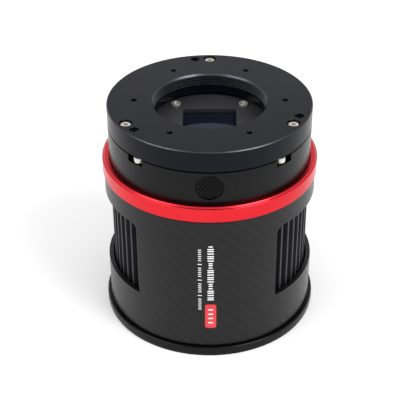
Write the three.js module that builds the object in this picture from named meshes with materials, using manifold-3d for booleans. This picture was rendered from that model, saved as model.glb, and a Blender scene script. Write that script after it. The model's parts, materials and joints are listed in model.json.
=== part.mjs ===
// Cooled astronomy camera, standing on its rear cover with the nose up.
// Millimetres, +Z up, origin at the centre of the rear face. Azimuths are degrees
// counter-clockwise from +X seen from above; the desiccant plug looks along -Y.
import * as THREE from "three";
import { mergeVertices } from "three/addons/utils/BufferGeometryUtils.js";
import Module from "manifold-3d";

const wasm = await Module();
wasm.setup();

// ---- Driving dimensions ---------------------------------------------------------------

const GAP = 0.3; // clearance between neighbouring pieces
const PAST = 1; // how far a cutter runs past the surface it opens

// Levels along the optical axis
const REAR_RIM_TOP = 3.6;
const REAR_PLATE_TOP = 3;
const SHELL_TOP = 59.6;
const HEATSINK_TOP = SHELL_TOP + GAP;
const BODY_BOTTOM = HEATSINK_TOP + GAP;
const BODY_TOP = 78.4;
const TILT_GAP = 0.6; // air gap that lets the tilt plate rock
const PLATE_BOTTOM = BODY_TOP + TILT_GAP;
const NOSE_FACE = 86.7;

// Main radii
const BODY_R = 37.5;
const RING_R = 40.1;
const ACCENT_RING = { height: 6, edge: 0.9 };
const SHELL_R = 39.6;
const SHELL_WALL = 1.7;
const REAR_R = 41;
const EDGE = 0.4; // ordinary edge chamfer

// Sides of the polygons that stand for circles
const WIDE = 48;
const MEDIUM = 32;
const SMALL = 16;
const HOLE = 8;
const SCREW = 10;

const SOCKET_FLOOR = 0.4; // share of a screw head's height left below its hexagonal socket

// Nose: M42 x 0.75 female thread, hole circle and tilt adjusters
const THREAD_MINOR_R = 20.6;
const THREAD_MOUTH_R = 21.2;
const THREAD_MOUTH_DEPTH = 0.5;
const ACCESSORY_HOLE_CIRCLE_R = 27.3;
const ACCESSORY_HOLE_R = 1;
const ACCESSORY_HOLE_DEPTH = 5.2;
const ADJUSTER_CIRCLE_R = 34;
const PULL_AZIMUTHS = [90, 210, 330];
const PUSH_OFFSET_DEG = 9.5; // each push screw stands this far counter-clockwise of its pull screw
const PULL_SCREW = { headR: 1.9, headHeight: 2, shankR: 1, length: 11.4, socket: 1.5 };
const PULL_HEAD_BOTTOM = 84.2;
const PULL_THREAD_FLOOR = 72;
const PUSH_SCREW = { shankR: 1.5, length: 7.3, tipR: 0.75, tipLength: 0.9, socket: 1.5 };
const SEAL_INNER_R = 25;
const SEAL_OUTER_R = 27.5;
const SEAL_HEIGHT = 1.5;
const NOSE_EDGE = 0.5; // edge chamfer of the tilt plate
const GRUB_SOCKET_DEPTH = 1.5;
const COUNTERBORE_CLEARANCE = 0.4;

// Sensor chamber in the front body
const CHAMBER_R = 30;
const CHAMBER_CEILING = 70.5;
const LEDGE_R = 13;
const LEDGE_TOP = 72.6;
const WINDOW_POCKET_R = 17;
const WINDOW_PLATE_R = 22.2;
const RECESS_FLOOR = 75.9;
const WINDOW_PLATE_THICKNESS = 1.5;
const APERTURE = { width: 19.8, height: 19, corner: 0.8 };
const WINDOW_SCREW = { headR: 1.9, headHeight: 1, shankR: 1, length: 5, socket: 1.3 };
const WINDOW_SCREW_CIRCLE_R = 18.5;
const WINDOW_HEAD_SINK = 0.6;
const WINDOW_THREAD_FLOOR = 71.8;
const WINDOW_SCREW_AZIMUTHS = [46.2, 133.8, 226.2, 313.8];
const WINDOW_GLASS_R = 15;
const WINDOW_GLASS_THICKNESS = 2;
const WINDOW_HEATER_TOP = 75.4;
const SEAL_SETBACK = 0.1; // how far a seal or cartridge stands back from its neighbour's edge

// Screws that clamp the front body to the heatsink, standing in pockets of the top rim
const CHAMBER_SCREW = { headR: 1.9, headHeight: 2, shankR: 1, length: 20.4, socket: 1.5 };
const CHAMBER_SCREW_CIRCLE_R = 35.3;
const CHAMBER_SCREW_AZIMUTHS = [46, 134, 226, 314];
const CHAMBER_THREAD_FLOOR = 55.2;
const RIM_POCKET = { floor: 75.8, innerR: 33.2, width: 7.1, corner: 1.5 };

// Desiccant plug, along -Y
const PLUG_Z = 72.6;
const PLUG_HEAD_R = 4.8;
const PLUG_HEAD_LENGTH = 2;
const PLUG_STEM_R = 3.9;
const PLUG_STEM_LENGTH = 4.8;
const PLUG_FACE_REACH = 37.3; // distance of the plug's face from the optical axis
const PLUG_SEAT_REACH = 34;
const DESICCANT_END_REACH = 24.2;

// Sensor stack, from the heatsink up
const PELTIER_LOWER = { side: 18, height: 2.6 };
const PELTIER_UPPER = { side: 14, height: 2.2 };
const COLLAR_R = 15;
const COLD_FLANGE = { side: 15, height: 0.7 };
const COLD_FINGER_SIDE = 10;
const COOLER_LAP = 0.2; // how far stacked blocks run into each other
const BOARD_R = 27.5;
const BOARD_CONNECTOR = { width: 14, depth: 3, y: -18 };
const BOARD_BOSS = { azimuths: [30, 150, 270], circleR: 24, radius: 1.8 };
const MAIN_BOARD = { bottom: 61.8, thickness: 1.6, innerR: 15.4 };
const SENSOR_BOARD = { bottom: 66.3, thickness: 1.3 };
const SENSOR_POST = { offset: 16.5, radius: 2.2 };
const SENSOR_THREAD_ROOF = 71.9;
const SENSOR_SCREW = { headR: 1.9, headHeight: 1.3, shankR: 1, length: 5.3, socket: 1.3 };
const SENSOR_PACKAGE = { width: 19, depth: 15, height: 1.7 };
const SENSOR_WELL = { width: 13, depth: 9, sink: 0.4 };
const COVER_GLASS = { width: 16, depth: 12, height: 0.6 };

// Shell windows, cut straight through from side to side
const SHELL_TURN_DEG = -1.8; // the shell sits turned by this much from the nose
const VENT = { bottom: 21.3, top: 52, halfWidth: 30.5, topCorner: 2.5, bottomCorner: 0.8 };

// Heatsink
const HEATSINK_R = 37.4;
const FIN_TIP_R = 37.3;
const FIN_COUNT = 64;
const FIN_THICKNESS = 0.9;
const FIN_BOTTOM = 20;
const FIN_LONG_ROOT_R = 8.1;
const FIN_SHORT_ROOT_R = 20;
const HEATSINK_BASE_BOTTOM = 52.5;
const HEATSINK_CORE_R = 7.8;
const CORE_BOTTOM = 22;
const FIN_LAP = 0.5; // how far fins, core and legs run into the base
const LEG_THREAD_TOP = 15;
const LEG = { x: 18.3, y: 28.18, radius: 2.6, bottom: REAR_PLATE_TOP + GAP };
const CHAMBER_SEAL = {
  pathR: 32.1,
  radius: 0.5,
  sides: 6,
  grooveInnerR: 30.9,
  grooveOuterR: 33.3,
  grooveDepth: 1.3,
};

// Fan, 50 x 50 x 10
const FAN_SIDE = 50;
const FAN_HEIGHT = 10;
const FAN_BOTTOM = REAR_PLATE_TOP + GAP;
const FAN_BORE_R = 23.5;
const FAN_HOLE_OFFSET = 20;
const FAN_HUB_R = 9.2;
const FAN_BLADES = 7;
const FAN_BLADE = { rootR: 8.5, tipR: 22.2, chord: 9, thickness: 1, pitchDeg: 35 };
const FAN_CORNER = 3;
const FAN_STRUT_WIDTH = 2.2;
const STATOR_THICKNESS = 1.7;
const ROTOR_CLEARANCE = { below: 0.6, above: 0.4 };
const FAN_SCREW = { headR: 2.6, headHeight: 1.2, shankR: 1.2, length: 9.6, socket: 2 };

// Rear cover, sockets and their boards
const REAR_SCREW = { headR: 2.3, headHeight: 1.2, shankR: 1.2, length: 12.6, socket: 1.5 };
const REAR_COUNTERBORE_DEPTH = 1.7;
const SPIGOT = { innerR: 36.6, outerR: 37.5, top: 6, notchHalfWidth: 14.9 };
const GRILLE_RINGS = [
  { count: 9, innerR: 6, outerR: 13, width: 3 },
  { count: 18, innerR: 15, outerR: 22.6, width: 3.2 },
];
const SOCKET_MOUTH = GAP; // sockets stop just inside the rear face
const SOCKET_TOP = 16.2;
const CONTACT_SETBACK = 0.7; // contacts stop this far inside their socket's mouth
const PORT_BOARD = {
  bottom: SOCKET_TOP + GAP,
  thickness: 1.6,
  halfWidth: 14.8,
  outerR: 37,
  innerReach: 25.7,
};
const USB3 = { width: 12, depth: 10.7, reach: 31.05, wall: 0.8, cavityTop: 12 };
const USB3_TONGUE = { width: 5.8, depth: 2.4 };
const USB2 = { width: 3.3, depth: 9, x: 10.5, reach: 31, wall: 0.4, cavityTop: 7 };
const USB2_TONGUE = { width: 0.8, depth: 6.6 };
const DC = { width: 9.4, depth: 10, reach: 31, noseR: 3.8, barrelR: 3.1, pinR: 1, cavityTop: 11 };
const RIBBON = { reach: 17.6, thickness: 0.4, halfWidth: 4, bottom: 18.4, end: 30, clearance: 0.4 };

// ---- Materials ------------------------------------------------------------------------

const finish = (color, roughness, metalness) =>
  new THREE.MeshStandardMaterial({ color, roughness, metalness });

const blackAnodised = finish(0x2b2c2f, 0.45, 0.8);
const redAnodised = finish(0xc8101c, 0.35, 0.8);
const steel = finish(0xb9bbbe, 0.3, 1);
const blackSteel = finish(0x1c1c1e, 0.4, 0.9);
const carbon = finish(0x35363a, 0.6, 0.1);
const bareAluminium = finish(0xa9abae, 0.4, 1);
const copper = finish(0xb87333, 0.35, 1);
const rubber = finish(0x141414, 0.85, 0);
const foam = finish(0x202020, 0.95, 0);
const blackPlastic = finish(0x18181a, 0.55, 0);
const circuitBoard = finish(0x14401f, 0.5, 0);
const ceramic = finish(0xd9d6cc, 0.7, 0);
const sensorPackage = finish(0x2a2622, 0.4, 0.2);
const coatedGlass = finish(0x1a2a55, 0.05, 0.1);
const clearGlass = finish(0x8899aa, 0.05, 0.1);
const polyimide = finish(0xa8641c, 0.5, 0);
const beads = finish(0x3a63b8, 0.6, 0);

// ---- Solid helpers --------------------------------------------------------------------

// A closed three.js geometry as a manifold-3d solid.
function solid(geometry) {
  const bare = geometry.index ? geometry.clone() : mergeVertices(geometry.clone());
  bare.deleteAttribute("normal");
  bare.deleteAttribute("uv");
  const merged = mergeVertices(bare, 1e-4);
  const indices = merged.index.array;
  const triangles = [];
  for (let i = 0; i < indices.length; i += 3) {
    const [a, b, c] = [indices[i], indices[i + 1], indices[i + 2]];
    if (a !== b && b !== c && c !== a) triangles.push(a, b, c);
  }
  return new wasm.Manifold(
    new wasm.Mesh({
      numProp: 3,
      vertProperties: new Float32Array(merged.attributes.position.array),
      triVerts: new Uint32Array(triangles),
    }),
  );
}

// A manifold-3d solid as a three.js geometry.
function geometryOf(made) {
  const mesh = made.getMesh();
  const geometry = new THREE.BufferGeometry();
  geometry.setAttribute("position", new THREE.BufferAttribute(mesh.vertProperties, 3));
  geometry.setIndex(new THREE.BufferAttribute(mesh.triVerts, 1));
  geometry.computeVertexNormals();
  return geometry;
}

// Solid of revolution about Z; the [radius, z] profile runs counter-clockwise.
function turned(profile, segments) {
  const points = profile.map(([radius, z]) => new THREE.Vector2(radius, z));
  return solid(new THREE.LatheGeometry(points, segments).rotateX(Math.PI / 2));
}

const rod = (radius, bottom, top, segments) =>
  turned([[0, bottom], [radius, bottom], [radius, top], [0, top]], segments);

const tube = (innerR, outerR, bottom, top, segments) =>
  turned(
    [[innerR, bottom], [outerR, bottom], [outerR, top], [innerR, top], [innerR, bottom]],
    segments,
  );

const block = (width, depth, bottom, top) =>
  solid(new THREE.BoxGeometry(width, depth, top - bottom).translate(0, 0, (top + bottom) / 2));

const prism = (shape, bottom, top, curveSegments = 4) =>
  solid(
    new THREE.ExtrudeGeometry(shape, { depth: top - bottom, bevelEnabled: false, curveSegments })
      .translate(0, 0, bottom),
  );

// Hexagonal prism with the given distance across flats.
const hexagon = (acrossFlats, bottom, top) => rod(acrossFlats / Math.sqrt(3), bottom, top, 6);

// Rectangle centred on the origin with its corners rounded.
function roundedRectangle(width, height, corner) {
  const x = width / 2;
  const y = height / 2;
  const shape = new THREE.Shape();
  shape.moveTo(-x + corner, -y);
  shape.lineTo(x - corner, -y);
  shape.absarc(x - corner, -y + corner, corner, -Math.PI / 2, 0);
  shape.lineTo(x, y - corner);
  shape.absarc(x - corner, y - corner, corner, 0, Math.PI / 2);
  shape.lineTo(-x + corner, y);
  shape.absarc(-x + corner, y - corner, corner, Math.PI / 2, Math.PI);
  shape.lineTo(-x, -y + corner);
  shape.absarc(-x + corner, -y + corner, corner, Math.PI, 1.5 * Math.PI);
  return shape;
}

const radians = THREE.MathUtils.degToRad;
const onCircle = (radius, azimuth) => [
  radius * Math.cos(radians(azimuth)),
  radius * Math.sin(radians(azimuth)),
];
const joined = (solids) => solids.reduce((whole, piece) => whole.add(piece));
const cutBy = (body, cutters) => body.subtract(joined(cutters));
const corners = (x, y) => [[x, y], [-x, y], [-x, -y], [x, -y]];

// Socket-head screw: origin under the head, head up, shank down.
function socketScrew({ headR, headHeight, shankR, length, socket }) {
  const body = turned(
    [
      [0, -length],
      [shankR, -length],
      [shankR, 0],
      [headR, 0],
      [headR, headHeight],
      [0, headHeight],
    ],
    SCREW,
  );
  return body.subtract(hexagon(socket, headHeight * SOCKET_FLOOR, headHeight + PAST));
}

// Grub screw with a dog point: origin at the tip, socket at the top.
function grubScrew({ shankR, length, tipR, tipLength, socket }) {
  const body = turned(
    [
      [0, 0],
      [tipR, 0],
      [tipR, tipLength],
      [shankR, tipLength + shankR - tipR],
      [shankR, length],
      [0, length],
    ],
    SCREW,
  );
  return body.subtract(hexagon(socket, length - GRUB_SOCKET_DEPTH, length + PAST));
}

// ---- Nose -----------------------------------------------------------------------------

const PULL_PLACES = PULL_AZIMUTHS.map((azimuth) => onCircle(ADJUSTER_CIRCLE_R, azimuth));
const PUSH_PLACES = PULL_AZIMUTHS.map((azimuth) =>
  onCircle(ADJUSTER_CIRCLE_R, azimuth + PUSH_OFFSET_DEG),
);

// Ring with the camera thread, a seal groove below and the adjuster holes.
function tiltPlate() {
  const grooveRoof = PLATE_BOTTOM + SEAL_HEIGHT;
  const ring = turned(
    [
      [THREAD_MINOR_R, PLATE_BOTTOM],
      [SEAL_INNER_R - GAP, PLATE_BOTTOM],
      [SEAL_INNER_R - GAP, grooveRoof],
      [SEAL_OUTER_R + GAP, grooveRoof],
      [SEAL_OUTER_R + GAP, PLATE_BOTTOM],
      [BODY_R - NOSE_EDGE, PLATE_BOTTOM],
      [BODY_R, PLATE_BOTTOM + NOSE_EDGE],
      [BODY_R, NOSE_FACE - NOSE_EDGE],
      [BODY_R - NOSE_EDGE, NOSE_FACE],
      [THREAD_MOUTH_R, NOSE_FACE],
      [THREAD_MINOR_R, NOSE_FACE - THREAD_MOUTH_DEPTH],
      [THREAD_MINOR_R, PLATE_BOTTOM],
    ],
    WIDE,
  );
  const cutters = [];
  for (let i = 0; i < 6; i += 1) {
    const [x, y] = onCircle(ACCESSORY_HOLE_CIRCLE_R, i * 60);
    const floor = NOSE_FACE - ACCESSORY_HOLE_DEPTH;
    cutters.push(rod(ACCESSORY_HOLE_R, floor, NOSE_FACE + PAST, HOLE).translate(x, y, 0));
  }
  for (const [x, y] of PULL_PLACES) {
    const seatR = PULL_SCREW.headR + COUNTERBORE_CLEARANCE;
    const counterbore = rod(seatR, PULL_HEAD_BOTTOM - GAP, NOSE_FACE + PAST, SMALL);
    const clearance = rod(PULL_SCREW.shankR + GAP, PLATE_BOTTOM - PAST, NOSE_FACE, HOLE);
    cutters.push(counterbore.add(clearance).translate(x, y, 0));
  }
  for (const [x, y] of PUSH_PLACES) {
    const hole = rod(PUSH_SCREW.shankR + GAP, PLATE_BOTTOM - PAST, NOSE_FACE + PAST, SCREW);
    cutters.push(hole.translate(x, y, 0));
  }
  return cutBy(ring, cutters);
}

const lightSeal = () =>
  tube(SEAL_INNER_R, SEAL_OUTER_R, PLATE_BOTTOM - GAP, PLATE_BOTTOM + SEAL_HEIGHT - GAP, MEDIUM);

// ---- Front body and its window --------------------------------------------------------

const SENSOR_POST_PLACES = corners(SENSOR_POST.offset, SENSOR_POST.offset);
const WINDOW_SCREW_PLACES = WINDOW_SCREW_AZIMUTHS.map((azimuth) =>
  onCircle(WINDOW_SCREW_CIRCLE_R, azimuth),
);
const CHAMBER_SCREW_PLACES = CHAMBER_SCREW_AZIMUTHS.map((azimuth) =>
  onCircle(CHAMBER_SCREW_CIRCLE_R, azimuth),
);

// Pocket in the top rim, open to the side and to the top.
function rimPocket(azimuth) {
  const { floor, innerR, width, corner } = RIM_POCKET;
  const reach = BODY_R + PAST + corner - innerR;
  const outline = roundedRectangle(reach, width, corner);
  return prism(outline, floor, BODY_TOP + PAST)
    .translate(innerR + reach / 2, 0, 0)
    .rotate(0, 0, azimuth);
}

// Stepped bore for the desiccant plug, on the -Y side.
function plugBore() {
  const seat = rod(PLUG_HEAD_R + GAP, PLUG_SEAT_REACH, BODY_R + PAST, SMALL);
  const bore = rod(PLUG_STEM_R + GAP, DESICCANT_END_REACH, BODY_R, SMALL);
  return seat.add(bore).rotate(90, 0, 0).translate(0, 0, PLUG_Z);
}

// Cup with the sensor chamber below, the window seat above and all the screw holes.
function frontBody() {
  const recessR = WINDOW_PLATE_R + GAP;
  const cup = turned(
    [
      [CHAMBER_R, BODY_BOTTOM],
      [BODY_R - EDGE, BODY_BOTTOM],
      [BODY_R, BODY_BOTTOM + EDGE],
      [BODY_R, BODY_TOP - EDGE],
      [BODY_R - EDGE, BODY_TOP],
      [recessR, BODY_TOP],
      [recessR, RECESS_FLOOR],
      [WINDOW_POCKET_R, RECESS_FLOOR],
      [WINDOW_POCKET_R, LEDGE_TOP],
      [LEDGE_R, LEDGE_TOP],
      [LEDGE_R, CHAMBER_CEILING],
      [CHAMBER_R, CHAMBER_CEILING],
      [CHAMBER_R, BODY_BOTTOM],
    ],
    WIDE,
  );
  const postBottom = SENSOR_BOARD.bottom + SENSOR_BOARD.thickness + GAP;
  const posts = SENSOR_POST_PLACES.map(([x, y]) =>
    rod(SENSOR_POST.radius, postBottom, CHAMBER_CEILING + PAST, SCREW).translate(x, y, 0),
  );
  const hole = (screw, bottom, top, [x, y]) =>
    rod(screw.shankR + GAP, bottom, top, HOLE).translate(x, y, 0);
  const cutters = [
    ...SENSOR_POST_PLACES.map((at) => hole(SENSOR_SCREW, postBottom - PAST, SENSOR_THREAD_ROOF, at)),
    ...PULL_PLACES.map((at) => hole(PULL_SCREW, PULL_THREAD_FLOOR, BODY_TOP + PAST, at)),
    ...CHAMBER_SCREW_PLACES.map((at) => hole(CHAMBER_SCREW, BODY_BOTTOM - PAST, BODY_TOP, at)),
    ...WINDOW_SCREW_PLACES.map((at) => hole(WINDOW_SCREW, WINDOW_THREAD_FLOOR, BODY_TOP, at)),
    ...CHAMBER_SCREW_AZIMUTHS.map(rimPocket),
    plugBore(),
  ];
  return cutBy(joined([cup, ...posts]), cutters);
}

// Disc over the window with a rectangular aperture and sunk screw heads.
function windowPlate() {
  const bottom = RECESS_FLOOR + GAP;
  const top = bottom + WINDOW_PLATE_THICKNESS;
  const headSeat = top - WINDOW_HEAD_SINK;
  const aperture = roundedRectangle(APERTURE.width, APERTURE.height, APERTURE.corner);
  const cutters = [prism(aperture, bottom - PAST, top + PAST)];
  for (const [x, y] of WINDOW_SCREW_PLACES) {
    const seat = rod(WINDOW_SCREW.headR + GAP, headSeat, top + PAST, SCREW);
    const clearance = rod(WINDOW_SCREW.shankR + GAP, bottom - PAST, top, HOLE);
    cutters.push(seat.add(clearance).translate(x, y, 0));
  }
  return cutBy(rod(WINDOW_PLATE_R, bottom, top, MEDIUM), cutters);
}

const GLASS_BOTTOM = RECESS_FLOOR - WINDOW_GLASS_THICKNESS;
const protectiveWindow = () => rod(WINDOW_GLASS_R, GLASS_BOTTOM, RECESS_FLOOR, MEDIUM);
const RING_SEAT = LEDGE_TOP + GAP;
const windowHeater = () =>
  tube(WINDOW_GLASS_R + GAP, WINDOW_POCKET_R - GAP, RING_SEAT, WINDOW_HEATER_TOP, MEDIUM);
const windowSeal = () =>
  tube(LEDGE_R + GAP, WINDOW_GLASS_R - SEAL_SETBACK, RING_SEAT, GLASS_BOTTOM - GAP, MEDIUM);

// ---- Desiccant plug -------------------------------------------------------------------

// Pieces of the plug are turned about Z by their reach, then laid along -Y.
const alongPlug = (made) => made.rotate(90, 0, 0).translate(0, 0, PLUG_Z);
const PLUG_HEAD_BACK = PLUG_FACE_REACH - PLUG_HEAD_LENGTH;
const PLUG_STEM_END = PLUG_HEAD_BACK - PLUG_STEM_LENGTH;

const desiccantPlug = () =>
  alongPlug(
    turned(
      [
        [0, PLUG_STEM_END],
        [PLUG_STEM_R, PLUG_STEM_END],
        [PLUG_STEM_R, PLUG_HEAD_BACK],
        [PLUG_HEAD_R, PLUG_HEAD_BACK],
        [PLUG_HEAD_R, PLUG_FACE_REACH],
        [0, PLUG_FACE_REACH],
      ],
      SMALL,
    ),
  );
const plugSeal = () =>
  alongPlug(
    tube(
      PLUG_STEM_R + GAP,
      PLUG_HEAD_R + SEAL_SETBACK,
      PLUG_SEAT_REACH + GAP,
      PLUG_HEAD_BACK - GAP,
      SMALL,
    ),
  );
const desiccantCartridge = () =>
  alongPlug(
    rod(PLUG_STEM_R - SEAL_SETBACK, DESICCANT_END_REACH + GAP, PLUG_STEM_END - GAP, SMALL),
  );

// ---- Sensor stack ---------------------------------------------------------------------

const PELTIER_BOTTOM = BODY_BOTTOM;
const PELTIER_STEP = PELTIER_BOTTOM + PELTIER_LOWER.height;
const PELTIER_TOP = PELTIER_STEP + PELTIER_UPPER.height;
const SENSOR_BOARD_TOP = SENSOR_BOARD.bottom + SENSOR_BOARD.thickness;
const PACKAGE_TOP = SENSOR_BOARD_TOP + GAP + SENSOR_PACKAGE.height;

// Two-stage thermoelectric cooler.
const peltierModule = () =>
  block(PELTIER_LOWER.side, PELTIER_LOWER.side, PELTIER_BOTTOM, PELTIER_STEP).add(
    block(PELTIER_UPPER.side, PELTIER_UPPER.side, PELTIER_STEP - COOLER_LAP, PELTIER_TOP),
  );

function insulationCollar() {
  const hole = PELTIER_LOWER.side + 2 * GAP;
  return rod(COLLAR_R, PELTIER_BOTTOM, PELTIER_TOP, MEDIUM).subtract(
    block(hole, hole, PELTIER_BOTTOM - PAST, PELTIER_TOP + PAST),
  );
}

// Copper block that carries the cold through the sensor board.
function coldFinger() {
  const bottom = PELTIER_TOP + GAP;
  const flangeTop = bottom + COLD_FLANGE.height;
  return block(COLD_FLANGE.side, COLD_FLANGE.side, bottom, flangeTop).add(
    block(COLD_FINGER_SIDE, COLD_FINGER_SIDE, flangeTop - COOLER_LAP, SENSOR_BOARD_TOP),
  );
}

const MAIN_BOARD_TOP = MAIN_BOARD.bottom + MAIN_BOARD.thickness;
const mainBoard = () =>
  tube(MAIN_BOARD.innerR, BOARD_R, MAIN_BOARD.bottom, MAIN_BOARD_TOP, MEDIUM);

function sensorBoard() {
  const hole = COLD_FINGER_SIDE + 2 * GAP;
  const { bottom } = SENSOR_BOARD;
  const cutters = SENSOR_POST_PLACES.map(([x, y]) =>
    rod(SENSOR_SCREW.shankR + GAP, bottom - PAST, SENSOR_BOARD_TOP + PAST, HOLE).translate(x, y, 0),
  );
  cutters.push(block(hole, hole, bottom - PAST, SENSOR_BOARD_TOP + PAST));
  return cutBy(rod(BOARD_R, bottom, SENSOR_BOARD_TOP, MEDIUM), cutters);
}

function boardConnector() {
  const { width, depth, y } = BOARD_CONNECTOR;
  return block(width, depth, MAIN_BOARD_TOP + GAP, SENSOR_BOARD.bottom - GAP).translate(0, y, 0);
}

// Ceramic carrier with the imaging surface at the floor of its well.
const sensorPackageBody = () =>
  block(SENSOR_PACKAGE.width, SENSOR_PACKAGE.depth, SENSOR_BOARD_TOP + GAP, PACKAGE_TOP).subtract(
    block(SENSOR_WELL.width, SENSOR_WELL.depth, PACKAGE_TOP - SENSOR_WELL.sink, PACKAGE_TOP + PAST),
  );
const COVER_GLASS_BOTTOM = PACKAGE_TOP + GAP;
const sensorCoverGlass = () =>
  block(
    COVER_GLASS.width,
    COVER_GLASS.depth,
    COVER_GLASS_BOTTOM,
    COVER_GLASS_BOTTOM + COVER_GLASS.height,
  );

// Round sealing cord lying in the groove of the heatsink.
function chamberSeal() {
  const { pathR, radius, sides } = CHAMBER_SEAL;
  const profile = [];
  for (let i = 0; i <= sides; i += 1) {
    const angle = (i / sides) * 2 * Math.PI;
    const z = HEATSINK_TOP - radius + radius * Math.sin(angle);
    profile.push([pathR + radius * Math.cos(angle), z]);
  }
  return turned(profile, MEDIUM);
}

// ---- Ring, shell and heatsink ---------------------------------------------------------

function accentRing() {
  const bottom = HEATSINK_TOP;
  const top = bottom + ACCENT_RING.height;
  const innerR = BODY_R + GAP;
  const { edge } = ACCENT_RING;
  return turned(
    [
      [innerR, bottom],
      [RING_R - GAP, bottom],
      [RING_R, bottom + GAP],
      [RING_R, top - edge],
      [RING_R - edge, top],
      [innerR, top],
      [innerR, bottom],
    ],
    WIDE,
  );
}

// Thin tube with one wide window on each side.
function shell() {
  const wall = tube(SHELL_R - SHELL_WALL, SHELL_R, REAR_RIM_TOP + GAP, SHELL_TOP, WIDE);
  const { bottom, top, halfWidth, topCorner, bottomCorner } = VENT;
  const left = -halfWidth + bottomCorner;
  const outline = new THREE.Shape();
  outline.moveTo(left, bottom);
  outline.lineTo(halfWidth - bottomCorner, bottom);
  outline.absarc(halfWidth - bottomCorner, bottom + bottomCorner, bottomCorner, -Math.PI / 2, 0);
  outline.lineTo(halfWidth, top - topCorner);
  outline.absarc(halfWidth - topCorner, top - topCorner, topCorner, 0, Math.PI / 2);
  outline.lineTo(-halfWidth + topCorner, top);
  outline.absarc(-halfWidth + topCorner, top - topCorner, topCorner, Math.PI / 2, Math.PI);
  outline.lineTo(-halfWidth, bottom + bottomCorner);
  outline.absarc(left, bottom + bottomCorner, bottomCorner, Math.PI, 1.5 * Math.PI);
  const reach = SHELL_R + PAST;
  const cutter = prism(outline, -reach, reach, 3).rotate(90, 0, 90).rotate(0, 0, SHELL_TURN_DEG);
  return wall.subtract(cutter);
}

const LEG_PLACES = corners(LEG.x, LEG.y);

// Disc with radial fins hanging below it and four legs down to the rear cover.
function heatsink() {
  const finTop = HEATSINK_BASE_BOTTOM + FIN_LAP;
  const pieces = [
    rod(HEATSINK_R, HEATSINK_BASE_BOTTOM, HEATSINK_TOP, WIDE),
    rod(HEATSINK_CORE_R, CORE_BOTTOM, finTop, SMALL),
  ];
  for (let i = 0; i < FIN_COUNT; i += 1) {
    const root = i % 2 ? FIN_SHORT_ROOT_R : FIN_LONG_ROOT_R;
    const fin = block(FIN_TIP_R - root, FIN_THICKNESS, FIN_BOTTOM, finTop);
    pieces.push(fin.translate((FIN_TIP_R + root) / 2, 0, 0).rotate(0, 0, (i * 360) / FIN_COUNT));
  }
  for (const [x, y] of LEG_PLACES) {
    pieces.push(rod(LEG.radius, LEG.bottom, finTop, SCREW).translate(x, y, 0));
  }
  for (const azimuth of BOARD_BOSS.azimuths) {
    const [x, y] = onCircle(BOARD_BOSS.circleR, azimuth);
    const boss = rod(BOARD_BOSS.radius, HEATSINK_TOP - PAST, MAIN_BOARD.bottom - GAP, HOLE);
    pieces.push(boss.translate(x, y, 0));
  }
  const { grooveInnerR, grooveOuterR, grooveDepth } = CHAMBER_SEAL;
  const above = HEATSINK_TOP + PAST;
  const slotWidth = 2 * (RIBBON.halfWidth + RIBBON.clearance);
  const slotDepth = RIBBON.thickness + 2 * RIBBON.clearance;
  const cutters = [
    tube(grooveInnerR, grooveOuterR, HEATSINK_TOP - grooveDepth, above, MEDIUM),
    ...CHAMBER_SCREW_PLACES.map(([x, y]) =>
      rod(CHAMBER_SCREW.shankR + GAP, CHAMBER_THREAD_FLOOR, above, HOLE).translate(x, y, 0),
    ),
    ...LEG_PLACES.map(([x, y]) =>
      rod(REAR_SCREW.shankR + GAP, LEG.bottom - PAST, LEG_THREAD_TOP, HOLE).translate(x, y, 0),
    ),
    ...[-1, 1].map((side) =>
      block(slotWidth, slotDepth, FIN_BOTTOM - PAST, above).translate(0, side * RIBBON.reach, 0),
    ),
  ];
  return cutBy(joined(pieces), cutters);
}

// ---- Fan ------------------------------------------------------------------------------

const FAN_TOP = FAN_BOTTOM + FAN_HEIGHT;
const FAN_SCREW_PLACES = corners(FAN_HOLE_OFFSET, FAN_HOLE_OFFSET);

// Square frame with a round duct, and the motor seat on four struts.
function fanFrame() {
  const statorBottom = FAN_TOP - STATOR_THICKNESS;
  const square = prism(roundedRectangle(FAN_SIDE, FAN_SIDE, FAN_CORNER), FAN_BOTTOM, FAN_TOP, 3);
  const cutters = [
    rod(FAN_BORE_R, FAN_BOTTOM - PAST, FAN_TOP + PAST, MEDIUM),
    ...FAN_SCREW_PLACES.map(([x, y]) =>
      rod(FAN_SCREW.shankR + GAP, FAN_BOTTOM - PAST, FAN_TOP + PAST, HOLE).translate(x, y, 0),
    ),
  ];
  const struts = [45, 135].map((azimuth) =>
    block(2 * (FAN_BORE_R + PAST), FAN_STRUT_WIDTH, statorBottom, FAN_TOP).rotate(0, 0, azimuth),
  );
  return joined([cutBy(square, cutters), rod(FAN_HUB_R, statorBottom, FAN_TOP, SMALL), ...struts]);
}

function fanRotor() {
  const bottom = FAN_BOTTOM + ROTOR_CLEARANCE.below;
  const top = FAN_TOP - STATOR_THICKNESS - ROTOR_CLEARANCE.above;
  const { rootR, tipR, chord, thickness, pitchDeg } = FAN_BLADE;
  const pieces = [rod(FAN_HUB_R, bottom, top, SMALL)];
  for (let i = 0; i < FAN_BLADES; i += 1) {
    const blade = solid(new THREE.BoxGeometry(tipR - rootR, chord, thickness))
      .rotate(pitchDeg, 0, 0)
      .translate((tipR + rootR) / 2, 0, (bottom + top) / 2)
      .rotate(0, 0, (i * 360) / FAN_BLADES);
    pieces.push(blade);
  }
  return joined(pieces);
}

// ---- Rear cover, sockets and boards ---------------------------------------------------

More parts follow.
